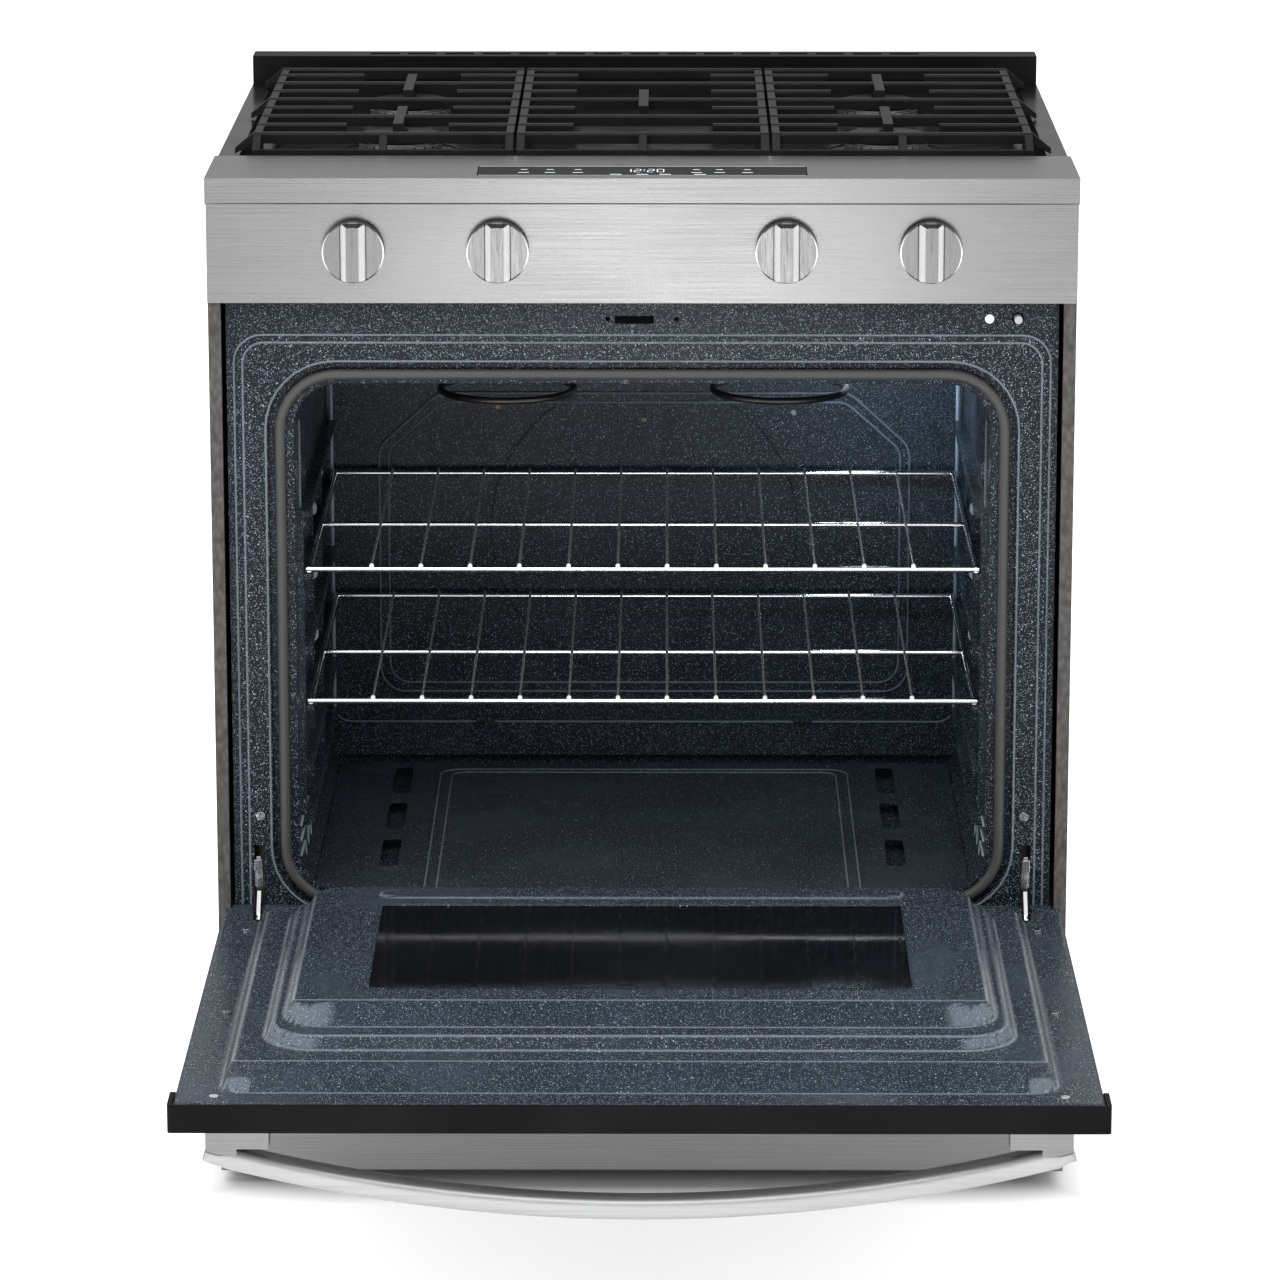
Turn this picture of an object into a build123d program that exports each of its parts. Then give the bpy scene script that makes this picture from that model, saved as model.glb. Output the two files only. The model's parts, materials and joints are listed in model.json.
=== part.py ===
from build123d import *
import os

# Freestanding gas range, millimetres, +Z up, front towards -Y, oven door lowered.
# The model is drawn with Y = 0 at the front of the console's lip and moved by SHIFT_Y when it is
# written, so that the origin is on the floor under the middle of the whole range.

# ---- driving dimensions -------------------------------------------------------------------
HALF_W = 379.5           # half of the body's width
BACK_Y = 650.0           # rear face of the body
DOOR_REACH = 555.0       # how far the lowered door reaches in front of the console's lip
SHIFT_Y = (DOOR_REACH - BACK_Y) / 2
SHEET = 1.0              # thickness of the body's sheet steel

CONSOLE_TOP = 916.0
CONSOLE_BOTTOM = 804.0
LIP_BOTTOM = 893.0
LIP_STEP = 12.0          # how far the lower console panel is set back from the lip
CONSOLE_DEPTH = 126.0
KNOB_X = (-251.0, -125.5, 125.5, 251.0)
KNOB_Z = 851.0
KNOB_NAMES = ("left_outer", "left_inner", "right_inner", "right_outer")
KNOB_R = 27.0
GRIP_FOOT_W = 21.0       # grip bar's width where it meets the knob's disc
GRIP_CREST_W = 10.6      # grip bar's width at its crest

RIM_Z = 910.0            # cooktop rim
PAN_Z = 896.0            # cooktop pan
TRIM_Y = 615.0           # front of the rear trim
TRIM_TOP = 937.0
GRATE_TOP = 930.0
BURNER_X = 221.5
BURNER_Y = (278.0, 489.0)

FRAME_Y = 27.0           # face of the oven front frame
FRAME_HALF_W = 365.0
CAVITY_HALF_W = 307.0
CAVITY_Z0 = 260.0
CAVITY_Z1 = 728.0
CAVITY_BACK = 530.0
GASKET_HALF_W = 319.0
GASKET_R = 4.8
CHANNEL_HALF_W = 331.0

HINGE_X = 343.0
HINGE_Y = 2.0
HINGE_Z = 243.0
LATCH_Z = 276.0          # pivot of the hinge latches
DOOR_HALF_W = 373.0
DOOR_FACE_Z = 233.0      # outer face of the lowered door
LINER_Z = 256.0          # flange of the door liner
PLATEAU_Z = 287.0
DOOR_HEEL = 20.0         # Y of the door's hinge-side edge
WINDOW = (227.0, -333.0, -89.0)

RACK_Z = (424.0, 546.0)
DRAWER_TOP = 220.0
DRAWER_BOTTOM = 14.0
FOOT_X = 350.0
FOOT_Y = (75.0, 605.0)


# ---- shape helpers --------------------------------------------------------------------------
def block(x0, x1, y0, y1, z0, z1):
    """Box between two corners."""
    middle = Pos((x0 + x1) / 2, (y0 + y1) / 2, (z0 + z1) / 2)
    return middle * Box(x1 - x0, y1 - y0, z1 - z0)


def centred(half_w, y0, y1, z0, z1):
    """Box that is centred across the range."""
    return block(-half_w, half_w, y0, y1, z0, z1)


def rod(start, end, radius):
    """Round bar between two points."""
    start = Vector(*start)
    span = Vector(*end) - start
    place = Plane(origin=start, z_dir=span)
    return place * Cylinder(radius, span.length, align=(Align.CENTER, Align.CENTER, Align.MIN))


def pipe(points, radius, bend):
    """Round wire or tube along straight runs joined by equal bends."""
    path = FilletPolyline(*points, radius=bend)
    return sweep(Plane(origin=path @ 0, z_dir=path % 0) * Circle(radius), path=path)


def ring_y(outer_r, inner_r, y0, y1, x, z):
    """Washer or sleeve whose axis runs front to back."""
    ring = rod((x, y0, z), (x, y1, z), outer_r)
    return ring - rod((x, y0 - 1, z), (x, y1 + 1, z), inner_r)


def upright(half_w, z0, z1, corner, y0, y1):
    """Rounded rectangle in the XZ plane, extruded from y0 to y1."""
    face = Plane(origin=(0, y0, (z0 + z1) / 2), x_dir=(1, 0, 0), z_dir=(0, 1, 0))
    return extrude(face * RectangleRounded(2 * half_w, z1 - z0, corner), y1 - y0)


def side_profile(points, x0, x1):
    """Closed outline given as (Y, Z) points, extruded across from x0 to x1."""
    face = Plane(origin=(x0, 0, 0), x_dir=(0, 1, 0), z_dir=(1, 0, 0))
    return extrude(face * make_face(Polyline(*points, close=True)), x1 - x0)


def plan_profile(points, z0, z1):
    """Closed outline given as (X, Y) points, extruded from z0 to z1."""
    return Pos(0, 0, z0) * extrude(make_face(Polyline(*points, close=True)), z1 - z0)


def both_sides(shape):
    """The shape and its mirror image on the other side of the range."""
    return [shape, mirror(shape, about=Plane.YZ)]


def write(name, shapes):
    """Move a sub-part into the range's frame and write it; a list becomes separate solids."""
    if not isinstance(shapes, (list, tuple)):
        shapes = [shapes]
    solids = []
    for shape in shapes:
        solids += list((Pos(0, SHIFT_Y, 0) * shape).solids())
    group = solids[0] if len(solids) == 1 else Compound(solids)
    export_step(group, "parts/" + name + ".step")


# ---- casing ---------------------------------------------------------------------------------
SIDE_TOP = 892.0
SIDE_BOTTOM = 14.0
FLANGE_IN = 11.0         # width of the side panel's front flange


def side_panel():
    """Right side panel: a skin with folded front, rear and bottom flanges."""
    outline = [(17, SIDE_BOTTOM), (648.5, SIDE_BOTTOM), (648.5, SIDE_TOP), (126.6, SIDE_TOP),
               (126.6, 803.4), (17, 803.4)]
    panel = side_profile(outline, HALF_W - SHEET, HALF_W)
    inner = HALF_W - FLANGE_IN
    panel += block(inner, HALF_W, 17, 18, SIDE_BOTTOM, 803.4)
    panel += block(inner, inner + SHEET, 17, 25, SIDE_BOTTOM, 803.4)
    panel += block(inner, HALF_W, 647.5, 648.5, SIDE_BOTTOM, SIDE_TOP)
    panel += block(inner, HALF_W, 17, 648.5, SIDE_BOTTOM, SIDE_BOTTOM + SHEET)
    return panel


def rear_panel():
    """Back sheet with louvres, a raised lower cover and the opening over the gas inlet."""
    panel = centred(378, 648.9, 649.7, 60, 892)
    for row in range(6):
        panel -= centred(150, 645, 655, 780 + 14 * row, 785 + 14 * row)
    panel += centred(230, 648.2, BACK_Y, 300, 620)
    for row in range(3):
        panel -= centred(120, 645, 655, 330 + 14 * row, 335 + 14 * row)
    panel -= block(-170, 170, 640, 660, 59, 190)
    panel -= rod((-250, 640, 130), (-250, 660, 130), 11.1)
    return panel


def base_frame():
    """Two side rails, two cross rails, the feet's threaded sleeves and the drawer's rails."""
    rail = block(339, 368, 31, 640, 15.4, 17.4) + block(366, 368, 31, 640, 15.4, 58)
    for y in FOOT_Y:
        rail += Pos(FOOT_X, y, 27.4) * Cylinder(8, 24)
    rail += block(336.5, 367, 60, 620, 56, 58)
    for y in FOOT_Y:
        rail -= Pos(FOOT_X, y, 30) * Cylinder(4.05, 60)
    frame = rail + mirror(rail, about=Plane.YZ)
    frame += centred(345, 36, 38, 15.4, 34)
    frame += centred(345, 636, 638, 15.4, 58)
    return frame


def levelling_foot(x, y):
    """Round pad with a threaded stem that runs in the base frame's sleeve."""
    pad = Pos(x, y, 4) * Cylinder(16, 8)
    pad = chamfer(pad.edges().group_by(Axis.Z)[-1], 2.5)
    return pad + Pos(x, y, 25) * Cylinder(4, 36)


def cord_bushing():
    """Flanged plastic bushing where a mains lead leaves the rear panel."""
    body = rod((-250, 640, 130), (-250, 648.9, 130), 14)
    body += rod((-250, 648.9, 130), (-250, 650, 130), 11)
    return body - rod((-250, 630, 130), (-250, 660, 130), 5)


# ---- oven box -------------------------------------------------------------------------------
def oven_front_frame():
    """Enamelled front: raised border, gasket channel, cavity mouth, hinge and latch slots."""
    frame = centred(FRAME_HALF_W, FRAME_Y, FRAME_Y + 3, 16, 803)
    field = upright(358.5, 150, 773, 25, FRAME_Y - 1, FRAME_Y + 1.2)
    frame -= field & centred(358.5, 0, 50, 230, 773)
    frame -= centred(344, 20, 40, 10, 223)
    for x in (-1, 1):
        frame += block(x * 363.5 - 1.5, x * 363.5 + 1.5, FRAME_Y + 1, FRAME_Y + 24, 18.4, 803)
    frame += centred(FRAME_HALF_W, FRAME_Y + 1, FRAME_Y + 24, 800, 803)
    channel = upright(CHANNEL_HALF_W, 246, 749, 62, FRAME_Y + 1.2, 38)
    frame += channel
    frame -= upright(CHANNEL_HALF_W - 1.4, 247.4, 747.6, 60.6, FRAME_Y - 2, 36)
    frame -= upright(CAVITY_HALF_W, CAVITY_Z0 + 2, CAVITY_Z1, 40, 20, 60)
    for x in (-HINGE_X, HINGE_X):
        frame -= block(x - 4.6, x + 4.6, 20, 40, 249, 309)
    frame -= block(-24, 10, 20, 40, 783, 790)
    for x in (-30, 30):
        frame -= rod((x, 20, 787), (x, 40, 787), 2)
    frame -= rod((329, 20, 788), (329, 40, 788), 5.2)
    return frame


def guide_rib(z):
    """Embossed shelf support that stands out of the cavity's right side wall."""
    rib = block(297.5, 308.5, 95, 505, z - 3, z + 3)
    return chamfer(rib.edges().group_by(Axis.X)[0], 1.5)


RIB_UNDER_RACK = 6.3     # from a rack's wire axis down to the middle of the rib it rests on
RIB_Z = (312.0, 362.0, RACK_Z[0] - RIB_UNDER_RACK, 473.0, RACK_Z[1] - RIB_UNDER_RACK, 597.0)
LAMP_X = 215.0
LAMP_Z = 676.0


def oven_cavity():
    """Deep-drawn enamelled box with embossed rack guides and a panelled back wall."""
    outer = upright(309.4, 243, CAVITY_Z1 + 3.4, 41.4, 38.2, CAVITY_BACK + 1.4)
    inner = upright(308, 244.4, CAVITY_Z1 + 2, 40, 37, CAVITY_BACK)
    box = outer - inner
    for z in RIB_Z:
        for rib in both_sides(guide_rib(z)):
            box += rib
    for y in (95, 230, 370, 505):
        post = block(303.5, 308.5, y - 4, y + 4, 312, 597)
        for shape in both_sides(post):
            box += shape
    outline = [(-257, 345), (-237, 325), (237, 325), (257, 345), (257, 569), (199, 622),
               (-199, 622), (-257, 569)]
    face = Plane(origin=(0, CAVITY_BACK - 2.2, 0), x_dir=(1, 0, 0), z_dir=(0, -1, 0))
    panel = make_face(Polyline(*outline, close=True))
    box += extrude(face * panel, -3)
    box += centred(306, CAVITY_BACK - 9, CAVITY_BACK + 0.5, 262, 296)
    box -= ring_y(149.8, 148.2, CAVITY_BACK - 4, CAVITY_BACK - 1.4, 0, 488)
    box -= rod((LAMP_X, 500, LAMP_Z), (LAMP_X, 560, LAMP_Z), 24)
    box -= rod((-215, 500, 655), (-215, 560, 655), 3.3)
    for x, z in ((-141, 607), (0, 595), (145, 603)):
        box -= rod((x, 515, z), (x, 560, z), 3)
    for x in (-127, 127):
        box -= rod((x, 500, 672), (x, 560, 672), 5.2)
    for x in (-120, 120):
        box -= block(x - 40, x + 40, 440, 500, 240, 250)
    for x in (-155, 155):
        box += block(x - 9, x + 9, CAVITY_BACK - 14, CAVITY_BACK, 296, 301)
    return box


def oven_floor():
    """Removable floor panel with burner slots down both sides and a raised centre."""
    panel = centred(296.5, 41, 505, 256.8, 258.2)
    raised = Pos(0, 258, 259.4) * RectangleRounded(394, 436, 20)
    panel += extrude(raised, -2)
    for y0, y1 in ((139, 232), (265, 361), (392, 490)):
        for sign in (-1, 1):
            slot = Pos(sign * 233, (y0 + y1) / 2, 250) * SlotOverall(y1 - y0, 17, 90)
            panel -= extrude(slot, 15)
    for x in (-268, 268):
        panel += block(x - 1, x + 1, 41, 505, 246, 257)
    panel += centred(269, 505, 507, 246, 258.2)
    panel += centred(269, 39, 41, 246, 258.2)
    return panel


def door_gasket():
    """Round woven seal in the front frame's channel."""
    top = 737.0
    bottom = 256.0
    place = Plane(origin=(0, 31, (top + bottom) / 2), x_dir=(1, 0, 0), z_dir=(0, -1, 0))
    path = (place * RectangleRounded(2 * GASKET_HALF_W, top - bottom, 50)).wire()
    return sweep(Plane(origin=path @ 0, z_dir=path % 0) * Circle(GASKET_R), path=path)


def oven_insulation():
    """Mineral wool blanket over the top and both sides of the cavity, and a rear pad."""
    wrap = centred(345, 62, 532, 246, 768) - centred(311, 60, 540, 240, 734)
    for x, z in ((-127, 672), (127, 672)):
        wrap -= rod((x, 500, z), (x, 560, z), 8)
    rear = centred(310.5, 533, 558, 262, 720)
    rear -= rod((LAMP_X, 500, LAMP_Z), (LAMP_X, 600, LAMP_Z), 27)
    rear -= rod((-215, 500, 655), (-215, 600, 655), 6)
    for x in (-127, 127):
        rear -= rod((x, 500, 672), (x, 600, 672), 8)
    return [wrap, rear]


def bake_burner():
    """Straight tube burner with two legs under the oven floor panel."""
    points = [(-110, 470, 251.5), (-110, 110, 251.5), (110, 110, 251.5), (110, 470, 251.5)]
    return pipe(points, 3.2, 40)


def broil_burner():
    """Two round tube loops under the cavity roof, each fed through the back wall."""
    loops = []
    for x in (-127, 127):
        loop = Pos(x, 335, 665) * Torus(62, 3.2)
        loop += rod((x, 397, 665), (x, 556, 672), 3)
        loops.append(loop)
    return loops


def oven_lamp():
    """Glass dome with its lampholder behind the cavity's back wall."""
    dome = Pos(LAMP_X, 526, LAMP_Z) * Sphere(22)
    dome &= block(LAMP_X - 30, LAMP_X + 30, 500, 530.5, LAMP_Z - 30, LAMP_Z + 30)
    dome += rod((LAMP_X, 526, LAMP_Z), (LAMP_X, 540, LAMP_Z), 20)
    dome += rod((LAMP_X, 532, LAMP_Z), (LAMP_X, 536, LAMP_Z), 25.5)
    return dome + rod((LAMP_X, 538, LAMP_Z), (LAMP_X, 585, LAMP_Z), 14)


def temperature_sensor():
    """Thin steel probe through the back wall with its mounting plate."""
    probe = rod((-215, 430, 655), (-215, 570, 655), 2.4)
    return probe + block(-226, -204, 531.8, 532.8, 645, 665)


# ---- cooktop --------------------------------------------------------------------------------
def cooktop():
    """Enamelled pan with a flat rim, a skirt, and a well around each burner."""
    top = centred(HALF_W, 126.6, TRIM_Y - 0.4, PAN_Z - 4, RIM_Z)
    pan = Pos(0, (143 + 598) / 2, 0)
    mouth = Plane.XY.offset(RIM_Z + 0.01) * pan * RectangleRounded(722, 455, 14)
    floor = Plane.XY.offset(PAN_Z) * pan * RectangleRounded(702, 435, 9)
    top -= loft([mouth, floor])
    under = centred(HALF_W - 1.2, 127.8, TRIM_Y - 1.6, PAN_Z - 5, RIM_Z - 1.4)
    under -= loft([
        Plane.XY.offset(RIM_Z) * pan * RectangleRounded(724.4, 457.4, 15),
        Plane.XY.offset(PAN_Z - 1.2) * pan * RectangleRounded(704.4, 437.4, 10)])
    under -= centred(352.2, 152, 589, PAN_Z - 1.2, PAN_Z + 2)
    top -= under
    for x in (-BURNER_X, BURNER_X):
        for y in BURNER_Y:
            top -= Pos(x, y, PAN_Z) * Cylinder(33, 20)
            ring = Pos(x, y, PAN_Z) * (Cylinder(58, 2.4) - Cylinder(54, 3))
            top += ring
    return top


def rear_trim():
    """Black vent trim behind the cooktop, a hollow bar with an outlet slot in its top."""
    bar = centred(HALF_W, TRIM_Y, BACK_Y, 893, TRIM_TOP)
    bar -= centred(HALF_W - 2, TRIM_Y + 2, BACK_Y - 2, 890, TRIM_TOP - 2)
    for index in range(-7, 8):
        bar -= block(index * 36 - 14, index * 36 + 14, 628, 638, 930, 945)
    return bar


def burner_heads():
    """Four ported aluminium heads with the mixing tube underneath."""
    heads = []
    for x in (-BURNER_X, BURNER_X):
        for y in BURNER_Y:
            head = Pos(x, y, 901.2) * Cylinder(38, 8)
            head += Pos(x, y, 906.2) * Cylinder(33, 2)
            head += Pos(x, y, 885) * Cylinder(30, 26)
            head -= Pos(x, y, 885) * Cylinder(12, 60)
            for step in range(24):
                port = Pos(33, 0, 903.4) * Box(12, 2.2, 3)
                head -= Pos(x, y, 0) * (Rot(0, 0, 15 * step + 7.5) * port)
            heads.append(head)
    return heads


def burner_caps():
    """Four enamelled iron caps with rounded edges, resting on the heads."""
    caps = []
    for x in (-BURNER_X, BURNER_X):
        for y in BURNER_Y:
            cap = Pos(x, y, 910.4) * Cylinder(37, 6)
            cap = fillet(cap.edges().group_by(Axis.Z)[-1], 2.5)
            caps.append(cap)
    return caps


def burner_electrodes():
    """Four ceramic spark electrodes, one behind each burner head."""
    pins = []
    for x in (-BURNER_X, BURNER_X):
        for y in BURNER_Y:
            pin = Pos(x, y + 46, 901) * Cylinder(3, 8)
            pin += Pos(x, y + 46, 906.5) * Cylinder(1, 5)
            pins.append(pin)
    return pins


BAR_W = 7.0
BAR_H = 10.0
BAR_Y = (173.0, 225.6, 278.2, 330.8, 383.4, 436.0, 488.6, 541.2, 580.7)
OUTER_FULL = (0, 2, 4, 6, 8)
CENTRE_FULL = (0, 2, 4, 6, 8)


def grate_bar(x0, x1, y):
    """Cast bar across the grate with a slightly tapered section."""
    section = [(y - BAR_W / 2 + 1, GRATE_TOP), (y + BAR_W / 2 - 1, GRATE_TOP),
               (y + BAR_W / 2, GRATE_TOP - 2), (y + BAR_W / 2 - 0.6, GRATE_TOP - BAR_H),
               (y - BAR_W / 2 + 0.6, GRATE_TOP - BAR_H), (y - BAR_W / 2, GRATE_TOP - 2)]
    return side_profile(section, x0, x1)


def grate(x0, x1, middle, gap, full, outer_foot):
    """Cast-iron grate: bars across, side rails, a low front bar, cross bars and feet."""
    iron = block(x0, x0 + BAR_W, 170, 584, GRATE_TOP - 14, GRATE_TOP - 1)
    iron += block(x1 - BAR_W, x1, 170, 584, GRATE_TOP - 14, GRATE_TOP - 1)
    for index, y in enumerate(BAR_Y):
        if index in full:
            iron += grate_bar(x0, x1, y)
        else:
            iron += grate_bar(x0, middle - gap, y)
            iron += grate_bar(middle + gap, x1, y)
    iron += block(x0, x1, 145, 151, 908.4, 918)
    for x in (x0, (x0 + x1) / 2 - 3.5, x1 - BAR_W):
        web = side_profile([(145, 908.4), (151, 908.4), (176, 922), (176, GRATE_TOP - 1),
                            (170, GRATE_TOP - 1), (145, 918)], x, x + BAR_W)
        iron += web
    for x in (x0 + 5, x1 - 5):
        for y in (162, 574):
            iron += Pos(x, y, 909) * Cylinder(4.5, 24)
    if outer_foot:
        low, high = (x0, x0 - 17) if outer_foot < 0 else (x1, x1 + 17)
        for y in (173, 383.4, 580.7):
            horn = make_face(Polyline((low, GRATE_TOP), (high, 916), (high, 911), (low, 919),
                                      close=True))
            place = Plane(origin=(0, y + 3, 0), x_dir=(1, 0, 0), z_dir=(0, -1, 0))
            iron += extrude(place * horn, 6)
    return iron


def outer_grate():
    """Right-hand grate over two burners."""
    iron = grate(115.5, 348, BURNER_X, 46, OUTER_FULL, 1)
    for y in BURNER_Y:
        iron += block(BURNER_X - 4.5, BURNER_X + 4.5, y - 54, y + 54, GRATE_TOP - 9, GRATE_TOP)
    return iron


def centre_grate():
    """Middle grate, one long cross bar at its centre."""
    iron = grate(-112.5, 112.5, 0, 63, CENTRE_FULL, 0)
    return iron + block(-4.5, 4.5, 334, 439, GRATE_TOP - 9, GRATE_TOP)


# ---- console --------------------------------------------------------------------------------
def console_panel():
    """Stainless console: overhanging lip, set-back knob panel, top with the display window."""
    shell = centred(HALF_W, 0, CONSOLE_DEPTH, LIP_BOTTOM, CONSOLE_TOP)
    shell += centred(HALF_W, LIP_STEP, CONSOLE_DEPTH, CONSOLE_BOTTOM, LIP_BOTTOM + 1)
    shell = chamfer(shell.edges().filter_by(Axis.X).sort_by(Axis.Y)[0:1], 1.2)
    inside = HALF_W - 1.6
    shell -= centred(inside, 1.6, CONSOLE_DEPTH + 1, LIP_BOTTOM + 1.6, CONSOLE_TOP - 1.6)
    shell -= centred(inside, LIP_STEP + 1.6, CONSOLE_DEPTH + 1, CONSOLE_BOTTOM - 1,
                     LIP_BOTTOM + 2)
    shell += centred(HALF_W - 1, LIP_STEP + 0.5, LIP_STEP + 12, CONSOLE_BOTTOM,
                     CONSOLE_BOTTOM + 1.6)
    shell -= centred(143.8, 15.7, 67.3, 900, 925)
    for x in KNOB_X:
        shell -= rod((x, 5, KNOB_Z), (x, 20, KNOB_Z), 7)
    return shell


def display_glass():
    """Black glass set into the console's top."""
    glass = centred(143.5, 16, 67, CONSOLE_TOP - 3, CONSOLE_TOP)
    return chamfer(glass.edges().group_by(Axis.Z)[-1], 0.5)


def control_board():
    """Electronic control under the display glass, with its housing."""
    return centred(135, 20, 62, 886, CONSOLE_TOP - 3.4) - centred(128, 24, 58, 880, 908)


VALVE_Y0 = 26.0


def gas_valves():
    """Four brass burner valves, each with a stem socket and an outlet."""
    valves = []
    for x in KNOB_X:
        valve = block(x - 14, x + 14, VALVE_Y0, 58, KNOB_Z - 15, KNOB_Z + 15)
        valve += rod((x, 18, KNOB_Z), (x, VALVE_Y0, KNOB_Z), 11)
        valve += rod((x, 58, KNOB_Z), (x, 66, KNOB_Z), 6)
        valve -= rod((x, 10, KNOB_Z), (x, 44, KNOB_Z), 4.05)
        valves.append(valve)
    return valves


def gas_manifold():
    """Manifold pipe behind the valves, four burner lines and the feed from the regulator."""
    pieces = [rod((-300, 74.2, KNOB_Z), (332, 74.2, KNOB_Z), 8)]
    for x in KNOB_X:
        side = -BURNER_X if x < 0 else BURNER_X
        row = BURNER_Y[0] if abs(x) > 200 else BURNER_Y[1]
        start_x = x + 12 if x < 0 else x - 12
        goal_x = side + (8 if abs(x) > 200 else -8) * (1 if x < 0 else -1)
        pieces.append(pipe([(start_x, 58, KNOB_Z - 12), (start_x, 100, KNOB_Z - 12),
                            (goal_x, 130, 842), (goal_x, row, 842), (goal_x, row, 871.8)],
                           3, 8))
    feed = [(340.2, 74.2, KNOB_Z - 1), (352.5, 74.2, KNOB_Z - 1), (352.5, 590, KNOB_Z - 1),
            (352.5, 590, 110), (92, 590, 110)]
    pieces.append(pipe(feed, 5, 9))
    return pieces


def gas_regulator():
    """Pressure regulator low in the back, with the threaded inlet facing the rear."""
    body = block(30, 92, 572, 612, 90, 130)
    body += Pos(61, 592, 136) * Cylinder(26, 14)
    body += rod((61, 610, 110), (61, 640, 110), 15)
    return body - rod((61, 618, 110), (61, 645, 110), 10.0)


def valve_stem(x):
    """Stem that turns in its valve; its flatted front end carries the knob."""
    stem = rod((x, 4.0, KNOB_Z), (x, 40.5, KNOB_Z), 4.0)
    flat = block(x - 5, x + 5, 3, 15, KNOB_Z + 2.4, KNOB_Z + 6)
    collar = rod((x, 16, KNOB_Z), (x, 17.6, KNOB_Z), 6)
    return stem - flat + collar


KNOB_FRONT = -16.0
KNOB_BACK = 8.4


def knob(x):
    """Round knob with a bevelled grip bar across its face."""
    body = rod((x, -3, KNOB_Z), (x, KNOB_BACK, KNOB_Z), KNOB_R)
    body = chamfer(body.edges().group_by(Axis.Y)[0], 1.0)
    grip_face = Plane(origin=(x, -3, KNOB_Z), x_dir=(1, 0, 0), z_dir=(0, -1, 0))
    foot = grip_face * RectangleRounded(GRIP_FOOT_W, 51, 3)
    crest = grip_face.offset(-KNOB_FRONT - 3) * RectangleRounded(GRIP_CREST_W, 48, 2)
    body += loft([foot, crest])
    body -= block(x - 0.5, x + 0.5, KNOB_FRONT - 1, KNOB_FRONT + 0.5, KNOB_Z + 4, KNOB_Z + 22)
    socket = rod((x, 0.4, KNOB_Z), (x, 20, KNOB_Z), 4.05)
    socket -= block(x - 5, x + 5, -5, 21, KNOB_Z + 2.45, KNOB_Z + 6)
    return body - socket


# ---- door -----------------------------------------------------------------------------------
STEPS = ((338.5, -522.0, -468.0, 256.0, 266.0, 24.0), (310.0, -442.0, -430.0, 266.0, 276.0, 46.0),
         (295.0, -409.0, -368.0, 276.0, 287.0, 36.0))


def liner_steps(shrink):
    """The liner's three concentric raised steps, made smaller all round by shrink."""
    pile = None
    for half_w, far_low, far_high, z0, z1, corner in STEPS:
        near = -14 - (338.5 - half_w) * 0.2
        low = Pos(0, (far_low + near) / 2, z0 - shrink - 0.3)
        high = Pos(0, (far_high + near - 8) / 2, z1 - shrink)
        base = RectangleRounded(2 * (half_w - shrink), near - far_low - 2 * shrink, corner)
        crest = RectangleRounded(2 * (half_w - 7 - shrink), near - 8 - far_high - 2 * shrink,
                                 corner - 3)
        step = loft([low * base, high * crest])
        pile = step if pile is None else pile + step
    return pile


def door_liner():
    """Enamelled inner skin of the door with stepped embossing and the window opening."""
    half_x, far_y, near_y = WINDOW
    skin = centred(DOOR_HALF_W, -552, DOOR_HEEL - 1, LINER_Z - 1.2, LINER_Z)
    skin += liner_steps(0)
    skin -= liner_steps(1.2)
    skin -= centred(half_x, far_y, near_y, 240, 300)
    skin += centred(232, -70, -66, PLATEAU_Z - 0.5, PLATEAU_Z + 2.5)
    skin += centred(240, -8, -3, LINER_Z - 0.5, LINER_Z + 2.5)
    for side in (-1, 1):
        arm_slot = block(side * HINGE_X - 5, side * HINGE_X + 5, -34, 30, 250, 262)
        skin -= arm_slot
        skin += block(side * 372.4 - 0.6, side * 372.4 + 0.6, -552, -10, 236, 256)
        skin -= block(side * 372 - 6, side * 372 + 6, 8, 30, 230, 260)
    skin -= centred(18.5, -540, -534, 250, 260)
    return skin


def door_outer_panel():
    """Stainless outer skin of the door with its window opening and folded edges."""
    skin = centred(DOOR_HALF_W, -552, DOOR_HEEL - 1, DOOR_FACE_Z, DOOR_FACE_Z + 1.2)
    skin -= centred(255, -360, -95, 230, 240)
    for side in (-1, 1):
        skin += block(side * 371.0 - 0.6, side * 371.0 + 0.6, -552, -12, DOOR_FACE_Z, 254.6)
        skin -= block(side * 372 - 6, side * 372 + 6, 8, 30, 230, 260)
    skin += centred(335, DOOR_HEEL - 2.2, DOOR_HEEL - 1, DOOR_FACE_Z, 254.6)
    return skin


def door_outer_glass():
    """Dark glass behind the outer panel's window opening."""
    return centred(262, -367, -88, DOOR_FACE_Z + 1.3, DOOR_FACE_Z + 5.3)


def door_inner_glass():
    """Reflective inner window glass, held under the liner's opening."""
    return centred(236, -342, -80, PLATEAU_Z - 5.4, PLATEAU_Z - 1.4)


def door_insulation():
    """Fibre blanket between the skins, cut out around the window."""
    pad = centred(325, -500, -20, 240, 254)
    return pad - centred(270, -372, -80, 230, 260)


def door_trim():
    """Black cap along the door's top edge that wraps a short way round both sides."""
    trim = centred(378, -DOOR_REACH, -546, DOOR_FACE_Z, LINER_Z + 0.4)
    for side in (-1, 1):
        wing = side_profile([(-552, 233), (-478, 233), (-478, 240), (-520, 256.4), (-552, 256.4)],
                            side * 376 - 2, side * 376 + 2)
        trim += wing
    trim -= centred(374, -552.4, -470, 225, LINER_Z + 2)
    return fillet(trim.edges().filter_by(Axis.Z).sort_by(Axis.Y)[0:2], 3)


HANDLE_HALF = 352.0
HANDLE_END_Z = 205.0
HANDLE_MID_Z = 157.0
HANDLE_Y = -512.0


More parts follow.
